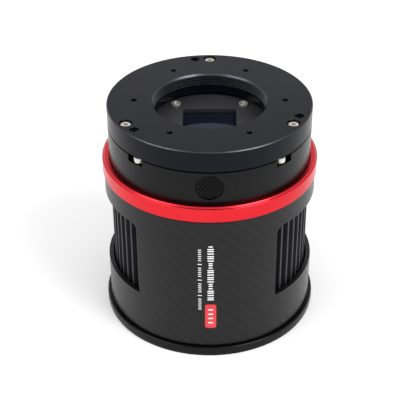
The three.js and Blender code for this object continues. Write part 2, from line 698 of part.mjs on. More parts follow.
function rearCover() {
  const disc = turned(
    [
      [0, 0],
      [REAR_R - EDGE, 0],
      [REAR_R, EDGE],
      [REAR_R, REAR_RIM_TOP - GAP],
      [REAR_R - GAP, REAR_RIM_TOP],
      [SPIGOT.outerR, REAR_RIM_TOP],
      [SPIGOT.outerR, SPIGOT.top],
      [SPIGOT.innerR, SPIGOT.top],
      [SPIGOT.innerR, REAR_PLATE_TOP],
      [0, REAR_PLATE_TOP],
    ],
    WIDE,
  );
  const below = -PAST;
  const above = SPIGOT.top + PAST;
  const counterbored = (screw, [x, y]) =>
    rod(screw.headR + GAP, below, REAR_COUNTERBORE_DEPTH, SCREW)
      .add(rod(screw.shankR + GAP, below, above, HOLE))
      .translate(x, y, 0);
  const port = ({ width, depth, reach }, x) =>
    block(width + 2 * GAP, depth + 2 * GAP, below, above).translate(x, -reach, 0);
  const cutters = [
    block(2 * SPIGOT.notchHalfWidth, 2 * REAR_R, REAR_RIM_TOP, above),
    ...LEG_PLACES.map((at) => counterbored(REAR_SCREW, at)),
    ...FAN_SCREW_PLACES.map((at) => counterbored(FAN_SCREW, at)),
    port(USB3, 0),
    port(USB2, -USB2.x),
    port(USB2, USB2.x),
    rod(DC.noseR + GAP, below, above, SMALL).translate(0, DC.reach, 0),
  ];
  for (const { count, innerR, outerR, width } of GRILLE_RINGS) {
    for (let i = 0; i < count; i += 1) {
      const slot = block(outerR - innerR, width, below, above);
      cutters.push(slot.translate((innerR + outerR) / 2, 0, 0).rotate(0, 0, (i * 360) / count));
    }
  }
  return cutBy(disc, cutters);
}

// Rectangular socket looking down, with a contact tongue hanging in its cavity.
function usbSocket({ width, depth, wall, cavityTop }, tongue) {
  const cavity = block(width - 2 * wall, depth - 2 * wall, SOCKET_MOUTH - PAST, cavityTop);
  const blade = block(tongue.width, tongue.depth, SOCKET_MOUTH + CONTACT_SETBACK, cavityTop + PAST);
  return block(width, depth, SOCKET_MOUTH, SOCKET_TOP).subtract(cavity).add(blade);
}

// Barrel socket: round nose in the cover, square body behind it, centre pin.
function dcSocket() {
  const bodyBottom = REAR_PLATE_TOP + GAP;
  const body = block(DC.width, DC.depth, bodyBottom, SOCKET_TOP);
  const nose = rod(DC.noseR, SOCKET_MOUTH, bodyBottom + PAST, SMALL);
  const barrel = rod(DC.barrelR, SOCKET_MOUTH - PAST, DC.cavityTop, SMALL);
  const pin = rod(DC.pinR, SOCKET_MOUTH + CONTACT_SETBACK, DC.cavityTop + PAST, HOLE);
  return body.add(nose).subtract(barrel).add(pin);
}

// Board behind a row of sockets: a flat edge by the fan and a round one by the shell.
function portBoard() {
  const { bottom, thickness, halfWidth, outerR, innerReach } = PORT_BOARD;
  const angle = Math.acos(halfWidth / outerR);
  const outline = new THREE.Shape();
  outline.moveTo(halfWidth, innerReach);
  outline.absarc(0, 0, outerR, angle, Math.PI - angle);
  outline.lineTo(-halfWidth, innerReach);
  outline.closePath();
  return prism(outline, bottom, bottom + thickness, 10);
}

// Flat cable from the main board, down between the fins and out to a port board.
function ribbon() {
  const { reach, thickness, halfWidth, bottom, end } = RIBBON;
  const inner = reach - thickness / 2;
  const outer = reach + thickness / 2;
  const top = MAIN_BOARD.bottom - GAP;
  const outline = new THREE.Shape();
  outline.moveTo(inner, bottom);
  outline.lineTo(end, bottom);
  outline.lineTo(end, bottom + thickness);
  outline.lineTo(outer, bottom + thickness);
  outline.lineTo(outer, top);
  outline.lineTo(inner, top);
  outline.closePath();
  return prism(outline, -halfWidth, halfWidth).rotate(90, 0, 90);
}

// ---- Assembly -------------------------------------------------------------------------

const camera = new THREE.Group();
camera.name = "cooled_astronomy_camera";

function addTo(group, name, geometry, material, position = [0, 0, 0]) {
  const mesh = new THREE.Mesh(geometry, material);
  mesh.name = name;
  mesh.position.set(...position);
  group.add(mesh);
  return mesh;
}

// Copies of one screw, numbered from 1.
function addScrews(group, name, geometry, material, places, z) {
  return places.map(([x, y], i) => addTo(group, `${name}_${i + 1}`, geometry, material, [x, y, z]));
}

const nose = new THREE.Group();
addTo(nose, "tilt_plate", geometryOf(tiltPlate()), blackAnodised);
addTo(nose, "light_seal", geometryOf(lightSeal()), foam);
const pullScrew = geometryOf(socketScrew(PULL_SCREW));
addScrews(nose, "tilt_pull_screw", pullScrew, steel, PULL_PLACES, PULL_HEAD_BOTTOM);
const pushScrew = geometryOf(grubScrew(PUSH_SCREW));
addScrews(nose, "tilt_push_screw", pushScrew, blackSteel, PUSH_PLACES, BODY_TOP + GAP);
camera.add(nose);

const front = new THREE.Group();
addTo(front, "front_body", geometryOf(frontBody()), blackAnodised);
addTo(front, "window_plate", geometryOf(windowPlate()), blackAnodised);
addTo(front, "protective_window", geometryOf(protectiveWindow()), coatedGlass);
addTo(front, "window_heater", geometryOf(windowHeater()), polyimide);
addTo(front, "window_seal", geometryOf(windowSeal()), rubber);
addTo(front, "desiccant_plug", geometryOf(desiccantPlug()), blackAnodised);
addTo(front, "desiccant_plug_seal", geometryOf(plugSeal()), rubber);
addTo(front, "desiccant_cartridge", geometryOf(desiccantCartridge()), beads);
const windowScrewZ = RECESS_FLOOR + WINDOW_PLATE_THICKNESS;
const windowScrew = geometryOf(socketScrew(WINDOW_SCREW));
addScrews(front, "window_plate_screw", windowScrew, steel, WINDOW_SCREW_PLACES, windowScrewZ);
const chamberScrew = geometryOf(socketScrew(CHAMBER_SCREW));
const chamberScrewZ = RIM_POCKET.floor + GAP;
addScrews(front, "chamber_screw", chamberScrew, steel, CHAMBER_SCREW_PLACES, chamberScrewZ);
camera.add(front);

const sensorStack = new THREE.Group();
addTo(sensorStack, "sensor_package", geometryOf(sensorPackageBody()), sensorPackage);
addTo(sensorStack, "sensor_cover_glass", geometryOf(sensorCoverGlass()), clearGlass);
addTo(sensorStack, "sensor_board", geometryOf(sensorBoard()), circuitBoard);
addTo(sensorStack, "cold_finger", geometryOf(coldFinger()), copper);
addTo(sensorStack, "peltier_module", geometryOf(peltierModule()), ceramic);
addTo(sensorStack, "insulation_collar", geometryOf(insulationCollar()), foam);
addTo(sensorStack, "chamber_seal", geometryOf(chamberSeal()), rubber);
addTo(sensorStack, "main_board", geometryOf(mainBoard()), circuitBoard);
addTo(sensorStack, "board_connector", geometryOf(boardConnector()), blackPlastic);
const sensorScrew = geometryOf(socketScrew(SENSOR_SCREW));
const sensorScrewZ = SENSOR_BOARD.bottom - GAP;
const sensorScrews = addScrews(
  sensorStack,
  "sensor_board_screw",
  sensorScrew,
  steel,
  SENSOR_POST_PLACES,
  sensorScrewZ,
);
for (const mesh of sensorScrews) {
  mesh.rotation.x = Math.PI; // driven in from below
}
camera.add(sensorStack);

const rear = new THREE.Group();
addTo(rear, "accent_ring", geometryOf(accentRing()), redAnodised);
addTo(rear, "shell", geometryOf(shell()), carbon);
addTo(rear, "heatsink", geometryOf(heatsink()), blackAnodised);
addTo(rear, "fan_frame", geometryOf(fanFrame()), blackPlastic);
addTo(rear, "fan_rotor", geometryOf(fanRotor()), blackPlastic);
addTo(rear, "rear_cover", geometryOf(rearCover()), blackAnodised);
const rearHeadTop = REAR_COUNTERBORE_DEPTH - GAP;
const fanScrew = geometryOf(socketScrew(FAN_SCREW));
const rearScrew = geometryOf(socketScrew(REAR_SCREW));
const rearFacing = [
  ...addScrews(rear, "fan_screw", fanScrew, blackSteel, FAN_SCREW_PLACES, rearHeadTop),
  ...addScrews(rear, "rear_screw", rearScrew, blackSteel, LEG_PLACES, rearHeadTop),
];
for (const mesh of rearFacing) {
  mesh.rotation.x = Math.PI; // heads look out of the rear face
}
camera.add(rear);

const ports = new THREE.Group();
const usb3 = geometryOf(usbSocket(USB3, USB3_TONGUE));
const usb2 = geometryOf(usbSocket(USB2, USB2_TONGUE));
addTo(ports, "usb3_socket", usb3, bareAluminium, [0, -USB3.reach, 0]);
addTo(ports, "usb2_socket_1", usb2, bareAluminium, [-USB2.x, -USB2.reach, 0]);
addTo(ports, "usb2_socket_2", usb2, bareAluminium, [USB2.x, -USB2.reach, 0]);
addTo(ports, "dc_socket", geometryOf(dcSocket()), blackPlastic, [0, DC.reach, 0]);
const board = geometryOf(portBoard());
const cable = geometryOf(ribbon());
addTo(ports, "power_board", board, circuitBoard);
addTo(ports, "power_ribbon", cable, polyimide);
addTo(ports, "port_board", board, circuitBoard).rotation.z = Math.PI;
addTo(ports, "data_ribbon", cable, polyimide).rotation.z = Math.PI;
camera.add(ports);

export default camera;
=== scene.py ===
"""Looks of a cooled astronomy camera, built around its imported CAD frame.

Lengths are in millimetres up to object_from, which links each mesh in metres.
"""

import json
import math

import bmesh
import bpy
from mathutils import Matrix, Vector


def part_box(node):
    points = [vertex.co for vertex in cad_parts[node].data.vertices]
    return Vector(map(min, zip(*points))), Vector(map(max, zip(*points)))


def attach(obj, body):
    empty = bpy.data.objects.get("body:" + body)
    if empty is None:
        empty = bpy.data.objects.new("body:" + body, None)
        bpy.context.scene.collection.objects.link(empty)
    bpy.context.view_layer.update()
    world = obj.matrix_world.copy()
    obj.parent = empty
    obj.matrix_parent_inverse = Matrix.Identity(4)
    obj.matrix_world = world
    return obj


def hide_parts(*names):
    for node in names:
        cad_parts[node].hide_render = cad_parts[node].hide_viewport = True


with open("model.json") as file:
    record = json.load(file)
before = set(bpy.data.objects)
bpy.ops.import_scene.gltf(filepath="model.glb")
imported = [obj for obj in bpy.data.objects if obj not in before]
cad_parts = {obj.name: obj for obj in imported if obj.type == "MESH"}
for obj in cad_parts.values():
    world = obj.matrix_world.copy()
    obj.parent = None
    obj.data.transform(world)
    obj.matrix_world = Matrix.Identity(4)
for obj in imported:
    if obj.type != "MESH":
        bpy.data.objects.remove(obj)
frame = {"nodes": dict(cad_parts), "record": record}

MM = 0.001
TURN = 2 * math.pi
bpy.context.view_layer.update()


# ---- Sizes read from the frame, in millimetres ------------------------------------------


def node_box(node):
    """Lowest and highest corner of a CAD node in millimetres."""
    low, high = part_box(node)
    return Vector(low) / MM, Vector(high) / MM


def centre(node):
    """Middle of a CAD node's box."""
    low, high = node_box(node)
    return (low + high) / 2


def c_radius(node):
    """Half the width of a CAD node across X."""
    low, high = node_box(node)
    return (high.x - low.x) / 2


def copies(base):
    """CAD nodes base_1, base_2 ... in order."""
    found = []
    while f"{base}_{len(found) + 1}" in frame["nodes"]:
        found.append(f"{base}_{len(found) + 1}")
    return found


GAP = 0.3  # clearance that neighbouring parts keep
PAST = 1.0  # how far a cutter runs past the face it opens

PLATE_LOW, PLATE_HIGH = node_box("tilt_plate")
PLATE_BOTTOM, NOSE_FACE, PLATE_R = PLATE_LOW.z, PLATE_HIGH.z, PLATE_HIGH.x
BODY_LOW, BODY_HIGH = node_box("front_body")
BODY_BOTTOM, BODY_TOP, BODY_R = BODY_LOW.z, BODY_HIGH.z, BODY_HIGH.x
RING_LOW, RING_HIGH = node_box("accent_ring")
SHELL_LOW, SHELL_HIGH = node_box("shell")
SHELL_R = SHELL_HIGH.y
REAR_HIGH = node_box("rear_cover")[1]
REAR_R, SPIGOT_TOP = REAR_HIGH.x, REAR_HIGH.z
REAR_RIM_TOP = SHELL_LOW.z - GAP
REAR_PLATE_TOP = node_box("fan_frame")[0].z - GAP
WINDOW_PLATE_LOW, WINDOW_PLATE_HIGH = node_box("window_plate")
GLASS_LOW, GLASS_HIGH = node_box("protective_window")
PLUG_LOW, PLUG_HIGH = node_box("desiccant_plug")
PLUG_Z = (PLUG_LOW.z + PLUG_HIGH.z) / 2
PLUG_R = PLUG_HIGH.x

# Female thread of the nose, and the shallow chamfer at its mouth
THREAD_CREST_R = 20.6
THREAD_ROOT_R = 21.02
THREAD_PITCH = 0.75
THREAD_DEPTH = 4.1
MOUTH_R = 21.2
MOUTH_DEPTH = 0.16

# Groove of the light seal in the underside of the tilt plate
SEAL_GROOVE_INNER_R = 24.7
SEAL_GROOVE_OUTER_R = 27.8
SEAL_GROOVE_DEPTH = 1.5

# Six threaded holes for accessories
ACCESSORY_HOLES = 6
ACCESSORY_CIRCLE_R = 27.5
ACCESSORY_HOLE_R = 1.0
ACCESSORY_HOLE_DEPTH = 5.2

# M2 socket-head screws, used for the tilt, the chamber and the window plate
SCREW_HEAD_R = 1.9
SCREW_SHANK_R = 1.0
SCREW_HOLE_R = 1.3
COUNTERBORE_R = 2.3
COUNTERBORE_DEPTH = 2.3

# Steps of the front body's bore, from the bottom up
CHAMBER_R = 30.0
CHAMBER_CEILING = 70.5
LEDGE_R = 13.0
LEDGE_TOP = 72.6
GLASS_POCKET_R = 17.0

# Bore of the desiccant plug, as distances from the camera's axis
CARTRIDGE_BORE_R = 4.2
CARTRIDGE_BORE_FLOOR = 24.2
PLUG_SEAT = 34.0

SHELL_WALL = 1.7
SHELL_TURN = math.radians(-1.8)  # the side windows sit a little off the X axis
VENT_BOTTOM, VENT_TOP, VENT_HALF_WIDTH = 21.3, 52.0, 30.5
VENT_TOP_CORNER, VENT_BOTTOM_CORNER = 2.5, 0.6


# ---- Mesh helpers -----------------------------------------------------------------------


def object_from(bm, name):
    """Links a bmesh, given in millimetres, as an object in metres."""
    bmesh.ops.recalc_face_normals(bm, faces=bm.faces)
    bmesh.ops.scale(bm, vec=(MM, MM, MM), verts=bm.verts)
    mesh = bpy.data.meshes.new(name)
    bm.to_mesh(mesh)
    bm.free()
    obj = bpy.data.objects.new(name, mesh)
    bpy.context.scene.collection.objects.link(obj)
    return obj


def turned(bm, profile, segments=128, matrix=None):
    """Adds a solid of revolution about Z; a profile that ends where it starts is a ring."""
    ring = profile[0] == profile[-1]
    points = profile[:-1] if ring else profile
    columns = []
    for radius, z in points:
        if radius == 0:
            columns.append([bm.verts.new((0, 0, z))] * segments)
            continue
        column = []
        for i in range(segments):
            angle = TURN * i / segments
            column.append(bm.verts.new((radius * math.cos(angle), radius * math.sin(angle), z)))
        columns.append(column)
    pairs = list(zip(columns, columns[1:]))
    if ring:
        pairs.append((columns[-1], columns[0]))
    for low, high in pairs:
        for i in range(segments):
            j = (i + 1) % segments
            corners = []
            for vert in (low[i], low[j], high[j], high[i]):
                if vert not in corners:
                    corners.append(vert)
            if len(corners) > 2:
                bm.faces.new(corners)
    if matrix is not None:
        made = {vert for column in columns for vert in column}
        bmesh.ops.transform(bm, matrix=matrix, verts=list(made))
    return bm


def prism(bm, outline, bottom, top, matrix=None):
    """Adds an extruded outline of (x, y) points."""
    low = [bm.verts.new((x, y, bottom)) for x, y in outline]
    high = [bm.verts.new((x, y, top)) for x, y in outline]
    bm.faces.new(list(reversed(low)))
    bm.faces.new(high)
    for i, vert in enumerate(low):
        j = (i + 1) % len(low)
        bm.faces.new((vert, low[j], high[j], high[i]))
    if matrix is not None:
        bmesh.ops.transform(bm, matrix=matrix, verts=low + high)
    return bm


def rounded_rectangle(width, height, radius, steps=6):
    """Outline of a rectangle centred on the origin with rounded corners."""
    points = []
    for quarter, (sx, sy) in enumerate(((1, 1), (-1, 1), (-1, -1), (1, -1))):
        cx, cy = sx * (width / 2 - radius), sy * (height / 2 - radius)
        for step in range(steps + 1):
            angle = (quarter + step / steps) * TURN / 4
            points.append((cx + radius * math.cos(angle), cy + radius * math.sin(angle)))
    return points


def polygon(radius, count):
    """Outline of a regular polygon from the radius of its corners."""
    angles = [TURN * i / count for i in range(count)]
    return [(radius * math.cos(angle), radius * math.sin(angle)) for angle in angles]


def at(x, y, z=0.0):
    """Matrix that moves a shape from the origin to a place."""
    return Matrix.Translation((x, y, z))


def about_z(angle):
    """Matrix that turns a shape about the camera's axis."""
    return Matrix.Rotation(angle, 4, "Z")


def toward_front(z):
    """Matrix that lays a shape made along +Z down, so that it points to -Y at height z."""
    return at(0, 0, z) @ Matrix.Rotation(TURN / 4, 4, "X")


def on_circle(radius, degrees):
    """Point of a circle about the origin."""
    angle = math.radians(degrees)
    return radius * math.cos(angle), radius * math.sin(angle)


def settle(obj):
    """Replaces an object's mesh by what its modifiers make of it."""
    bpy.context.view_layer.update()
    shown = obj.evaluated_get(bpy.context.evaluated_depsgraph_get())
    mesh = bpy.data.meshes.new_from_object(shown)
    obj.modifiers.clear()
    obj.data = mesh
    return obj


def boolean(obj, bm, operation="DIFFERENCE"):
    """Cuts the cutters in bm, in millimetres, out of obj, or joins them to it."""
    tool = object_from(bm, "tool")
    modifier = obj.modifiers.new("cut", "BOOLEAN")
    modifier.operation = operation
    modifier.solver = "EXACT"
    modifier.object = tool
    settle(obj)
    bpy.data.objects.remove(tool)
    return obj


def soften(obj, width, segments=2, angle=30):
    """Rounds every edge sharper than angle and shades the rest smooth."""
    bevel = obj.modifiers.new("edge", "BEVEL")
    bevel.width = width * MM
    bevel.segments = segments
    bevel.limit_method = "ANGLE"
    bevel.angle_limit = math.radians(angle)
    bevel.use_clamp_overlap = True
    settle(obj)
    return shade(obj, angle)


def shade(obj, angle=30):
    """Shades an object smooth, with a crease at every edge sharper than angle."""
    mesh = obj.data
    mesh.polygons.foreach_set("use_smooth", [True] * len(mesh.polygons))
    mesh.set_sharp_from_angle(angle=math.radians(angle))
    modifier = obj.modifiers.new("normals", "WEIGHTED_NORMAL")
    modifier.keep_sharp = True
    return settle(obj)


def accent_faces(obj, material, chosen):
    """Gives the faces that chosen(radius, z, normal) picks, in millimetres, a second material."""
    obj.data.materials.append(material)
    for face in obj.data.polygons:
        radius = math.hypot(face.center.x, face.center.y) / MM
        if chosen(radius, face.center.z / MM, face.normal):
            face.material_index = 1


def slanted(normal):
    """Whether a face leans, as a chamfer or a rounding that looks up does."""
    return 0.25 < normal.z < 0.97


def dress(obj, material, body, slot, *replaced):
    """Gives a piece its material and its body and hides the CAD nodes it stands for; slot is not used.
    """
    obj.data.materials.clear()
    obj.data.materials.append(material)
    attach(obj, body)
    if replaced:
        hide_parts(*replaced)
    return obj


# ---- Materials --------------------------------------------------------------------------


class Nodes:
    """A small builder for one material's node tree."""

    def __init__(self, name):
        self.material = bpy.data.materials.new(name)
        self.material.use_nodes = True
        self.tree = self.material.node_tree
        self.shader = self.tree.nodes["Principled BSDF"]

    def add(self, kind, **settings):
        """A new node of a kind, with its own settings."""
        node = self.tree.nodes.new(kind)
        for key, value in settings.items():
            setattr(node, key, value)
        return node

    def link(self, source, target):
        self.tree.links.new(source, target)

    def math(self, operation, a, b=None):
        """A math node on sockets or numbers."""
        node = self.add("ShaderNodeMath", operation=operation)
        for socket, value in zip(node.inputs, (a, b)):
            if value is None:
                continue
            if isinstance(value, (int, float)):
                socket.default_value = value
            else:
                self.link(value, socket)
        return node.outputs[0]

    def position(self):
        return self.add("ShaderNodeTexCoord").outputs["Object"]

    def noise(self, vector, scale, detail=4.0, roughness=0.5):
        node = self.add("ShaderNodeTexNoise")
        node.inputs["Scale"].default_value = scale
        node.inputs["Detail"].default_value = detail
        node.inputs["Roughness"].default_value = roughness
        self.link(vector, node.inputs["Vector"])
        return node.outputs["Fac"]

    def stretch(self, vector, scale):
        node = self.add("ShaderNodeMapping")
        node.inputs["Scale"].default_value = scale
        self.link(vector, node.inputs["Vector"])
        return node.outputs["Vector"]

    def ramp(self, factor, stops):
        node = self.add("ShaderNodeValToRGB")
        elements = node.color_ramp.elements
        while len(elements) < len(stops):
            elements.new(0.5)
        for element, (place, colour) in zip(elements, stops):
            element.position = place
            element.color = (*colour, 1)
        self.link(factor, node.inputs["Fac"])
        return node.outputs["Color"]

    def spread(self, factor, low, high, start=0.0, end=1.0):
        """Maps start to end onto low to high."""
        node = self.add("ShaderNodeMapRange")
        for name, value in (("From Min", start), ("From Max", end), ("To Min", low), ("To Max", high)):
            node.inputs[name].default_value = value
        self.link(factor, node.inputs["Value"])
        return node.outputs["Result"]

    def bump(self, height, strength, distance):
        """Drives the surface's normal from a height; distance is in metres."""
        node = self.add("ShaderNodeBump")
        node.inputs["Strength"].default_value = strength
        node.inputs["Distance"].default_value = distance
        self.link(height, node.inputs["Height"])
        self.link(node.outputs["Normal"], self.shader.inputs["Normal"])

    def set(self, **values):
        """Sets uniform values on the shader's own sockets."""
        for key, value in values.items():
            self.shader.inputs[key.replace("_", " ")].default_value = value
        return self


def anodised(name, dark, light, roughness, ior=1.38, grain=9000.0, metallic=0.0, mark=0.05):
    """Bead-blasted anodised aluminium: fine grain, slow tone drift and light handling marks."""
    nodes = Nodes(name).set(Metallic=metallic, IOR=ior)
    place = nodes.position()
    drift = nodes.noise(place, 60.0, 3.0)
    nodes.link(nodes.ramp(drift, ((0.3, dark), (0.7, light))), nodes.shader.inputs["Base Color"])
    wear = nodes.noise(place, 700.0, 6.0, 0.65)
    low, high = roughness - mark, roughness + mark
    nodes.link(nodes.spread(wear, low, high, 0.3, 0.7), nodes.shader.inputs["Roughness"])
    nodes.bump(nodes.noise(place, grain, 2.0), 0.07, 0.00002)
    return nodes.material


def bare_metal(name, dark, light, roughness, metallic=1.0):
    """Bare or plated metal with fine brushing."""
    nodes = Nodes(name).set(Metallic=metallic)
    place = nodes.position()
    brushed = nodes.noise(nodes.stretch(place, (1.0, 1.0, 9.0)), 3500.0, 3.0)
    nodes.link(nodes.ramp(brushed, ((0.25, dark), (0.75, light))), nodes.shader.inputs["Base Color"])
    spots = nodes.noise(place, 1500.0, 4.0)
    low, high = roughness - 0.08, roughness + 0.08
    nodes.link(nodes.spread(spots, low, high, 0.3, 0.7), nodes.shader.inputs["Roughness"])
    nodes.bump(brushed, 0.1, 0.00002)
    return nodes.material


def moulded(name, dark, light, roughness, grain=2500.0, strength=0.2):
    """Moulded plastic, rubber or foam with a spark-eroded grain."""
    nodes = Nodes(name)
    place = nodes.position()
    tone = nodes.noise(place, 120.0, 3.0)
    nodes.link(nodes.ramp(tone, ((0.3, dark), (0.7, light))), nodes.shader.inputs["Base Color"])
    pits = nodes.noise(place, grain, 4.0, 0.6)
    low, high = roughness - 0.06, roughness + 0.06
    nodes.link(nodes.spread(pits, low, high, 0.3, 0.7), nodes.shader.inputs["Roughness"])
    nodes.bump(pits, strength, 0.00005)
    return nodes.material


def carbon_twill(name):
    """Matte 2x2 twill laid round the tube, with the fibres of each tow."""
    tow = 1.3 * MM
    nodes = Nodes(name)
    split = nodes.add("ShaderNodeSeparateXYZ")
    nodes.link(nodes.position(), split.inputs[0])
    angle = nodes.math("ARCTAN2", split.outputs["Y"], split.outputs["X"])
    tows_round = round(TURN * SHELL_R * MM / tow / 4) * 4
    across = nodes.math("MULTIPLY", angle, tows_round / TURN)
    along = nodes.math("MULTIPLY", split.outputs["Z"], 1 / tow)
    cells = nodes.math("ADD", nodes.math("FLOOR", across), nodes.math("FLOOR", along))
    phase = nodes.math("MODULO", nodes.math("ADD", cells, 4000.0), 4.0)
    warp_on_top = nodes.math("LESS_THAN", phase, 1.5)
    crown_across = nodes.math("SINE", nodes.math("MULTIPLY", nodes.math("FRACT", across), math.pi))
    crown_along = nodes.math("SINE", nodes.math("MULTIPLY", nodes.math("FRACT", along), math.pi))
    weft_on_top = nodes.math("SUBTRACT", 1.0, warp_on_top)
    height = nodes.math(
        "ADD",
        nodes.math("MULTIPLY", crown_across, warp_on_top),
        nodes.math("MULTIPLY", crown_along, weft_on_top),
    )
    coordinates = nodes.add("ShaderNodeCombineXYZ")
    nodes.link(across, coordinates.inputs["X"])
    nodes.link(along, coordinates.inputs["Y"])
    flat = coordinates.outputs[0]
    warp_fibres = nodes.noise(nodes.stretch(flat, (14.0, 0.6, 1.0)), 1.0, 2.0)
    weft_fibres = nodes.noise(nodes.stretch(flat, (0.6, 14.0, 1.0)), 1.0, 2.0)
    fibres = nodes.math(
        "ADD",
        nodes.math("MULTIPLY", warp_fibres, warp_on_top),
        nodes.math("MULTIPLY", weft_fibres, weft_on_top),
    )
    blotch = nodes.noise(flat, 0.13, 3.0)
    tone = nodes.math("MULTIPLY", warp_on_top, 0.25)
    tone = nodes.math("ADD", tone, nodes.math("MULTIPLY", fibres, 0.5))
    tone = nodes.math("ADD", tone, nodes.math("MULTIPLY", blotch, 0.25))
    dark, light = (0.0030, 0.0030, 0.0033), (0.0080, 0.0080, 0.0083)
    colour = nodes.ramp(tone, ((0.25, dark), (0.75, light)))
    nodes.link(colour, nodes.shader.inputs["Base Color"])
    nodes.link(nodes.spread(tone, 0.32, 0.25, 0.2, 0.8), nodes.shader.inputs["Roughness"])
    nodes.set(IOR=1.31)
    relief = nodes.math("ADD", height, nodes.math("MULTIPLY", fibres, 0.35))
    nodes.bump(relief, 0.10, 0.00005)
    return nodes.material


def coated_glass(name, tint):
    """Anti-reflection coated window whose residual reflection is deep blue."""
    nodes = Nodes(name).set(IOR=1.28, Transmission_Weight=0.6)
    nodes.shader.inputs["Specular Tint"].default_value = tint
    place = nodes.position()
    film = nodes.noise(place, 35.0, 2.0)
    dark, light = (0.012, 0.016, 0.030), (0.018, 0.024, 0.044)
    colour = nodes.ramp(film, ((0.3, dark), (0.7, light)))
    nodes.link(colour, nodes.shader.inputs["Base Color"])
    nodes.link(nodes.spread(nodes.noise(place, 900.0), 0.02, 0.05), nodes.shader.inputs["Roughness"])
    return nodes.material


def circuit_board(name):
    """Green solder mask with copper pads and traces showing faintly through it."""
    nodes = Nodes(name)
    place = nodes.position()
    bricks = nodes.add("ShaderNodeTexBrick")
    bricks.inputs["Scale"].default_value = 420.0
    bricks.inputs["Color1"].default_value = (0.008, 0.060, 0.022, 1)
    bricks.inputs["Color2"].default_value = (0.012, 0.085, 0.030, 1)
    bricks.inputs["Mortar"].default_value = (0.006, 0.038, 0.016, 1)
    bricks.inputs["Mortar Size"].default_value = 0.03
    nodes.link(place, bricks.inputs["Vector"])
    nodes.link(bricks.outputs["Color"], nodes.shader.inputs["Base Color"])
    nodes.link(nodes.spread(nodes.noise(place, 600.0), 0.3, 0.45), nodes.shader.inputs["Roughness"])
    nodes.bump(bricks.outputs["Fac"], 0.2, 0.00003)
    return nodes.material


MATERIALS = {
    "black_anodised": anodised(
        "black_anodised", (0.0014, 0.0018, 0.0040), (0.0022, 0.0028, 0.0056), 0.26, ior=1.22
    ),
    "red_anodised": anodised(
        "red_anodised", (0.60, 0.019, 0.028), (0.66, 0.025, 0.034), 0.26, metallic=1.0, mark=0.04
    ),
    "carbon_shell": carbon_twill("carbon_shell"),
    "steel_screw": bare_metal("steel_screw", (0.52, 0.50, 0.46), (0.68, 0.66, 0.61), 0.30, 0.8),
    "black_screw": bare_metal("black_screw", (0.020, 0.020, 0.022), (0.045, 0.045, 0.048), 0.38),
    "foam": moulded("foam", (0.010, 0.010, 0.010), (0.018, 0.018, 0.018), 0.92, 1800.0, 0.6),
    "rubber": moulded("rubber", (0.008, 0.008, 0.008), (0.014, 0.014, 0.014), 0.7, 900.0, 0.1),
    "coated_glass": coated_glass("coated_glass", (0.08, 0.30, 0.70, 1)),
    "clear_glass": coated_glass("clear_glass", (0.8, 0.8, 1.0, 1)),
    "polyimide": moulded("polyimide", (0.32, 0.11, 0.015), (0.42, 0.15, 0.02), 0.35, 700.0, 0.05),
    "sensor_package": moulded("sensor_package", (0.03, 0.026, 0.02), (0.04, 0.034, 0.027), 0.4),
    "circuit_board": circuit_board("circuit_board"),
    "black_plastic": moulded("black_plastic", (0.010, 0.010, 0.011), (0.018, 0.018, 0.019), 0.5),
    "copper": bare_metal("copper", (0.66, 0.32, 0.18), (0.78, 0.40, 0.24), 0.3),
    "ceramic": moulded("ceramic", (0.68, 0.66, 0.60), (0.76, 0.74, 0.68), 0.65),
    "socket_metal": bare_metal("socket_metal", (0.50, 0.50, 0.51), (0.62, 0.62, 0.63), 0.24),
    "desiccant_beads": moulded(
        "desiccant_beads", (0.03, 0.10, 0.36), (0.08, 0.18, 0.50), 0.5, 1400.0, 0.9
    ),
    "white_print": moulded("white_print", (0.72, 0.72, 0.73), (0.80, 0.80, 0.81), 0.5, 3000.0, 0.05),
    "red_print": moulded("red_print", (0.60, 0.020, 0.030), (0.68, 0.030, 0.042), 0.45, 3000.0, 0.05),
}
BODY_BLACK = anodised("body_black", (0.0014, 0.0015, 0.0022), (0.0024, 0.0025, 0.0034), 0.27, ior=1.25)
KNURL_BLACK = anodised("knurl_black", (0.0012, 0.0012, 0.0016), (0.0020, 0.0020, 0.0025), 0.4, ior=1.22)
MATTE_BLACK = anodised("matte_black", (0.017, 0.0165, 0.019), (0.023, 0.022, 0.025), 0.55)
# Metallic grey for faces that look up: a painted highlight on the nose's rim chamfer and on the upper
# flanks of its thread, far brighter than the black anodising
PAINTED_HIGHLIGHT = anodised("painted_highlight", (0.048, 0.049, 0.056), (0.064, 0.065, 0.074), 0.30, metallic=1.0)
# Red for the ring's slanted upper faces: lower roughness for real gloss, plus a slightly lighter colour
# that is a painted highlight
RED_PAINTED_HIGHLIGHT = anodised("red_painted_highlight", (0.66, 0.026, 0.036), (0.74, 0.034, 0.045), 0.20, metallic=1.0)
# Near-black metal for the screws' key recesses: painted shade, much darker than the steel around it
RECESS_PAINTED_SHADE = bare_metal("recess_painted_shade", (0.016, 0.015, 0.013), (0.035, 0.033, 0.030), 0.45)
# Fins are a much lighter black than the anodising: painted light that lifts the deep shade in the gaps
# between them
FIN_PAINTED_LIGHT = anodised("fin_painted_light", (0.020, 0.020, 0.023), (0.028, 0.028, 0.032), 0.5)


def dress_cad_nodes():
    """Gives every CAD node the material of its slot; replaced nodes are hidden later."""
    for row in frame["record"]["subparts"]:
        obj = frame["nodes"][row["node"]]
        obj.data.materials.clear()
        obj.data.materials.append(MATERIALS[row["material_slot"]])
        obj.data.polygons.foreach_set("use_smooth", [False] * len(obj.data.polygons))
    # The heatsink takes the lighter fin black, painted light in the shaded gaps between its fins; the
    # rear cover takes the body's black
    for node, material in (("heatsink", FIN_PAINTED_LIGHT), ("rear_cover", BODY_BLACK)):
        frame["nodes"][node].data.materials[0] = material


# ---- Nose -------------------------------------------------------------------------------


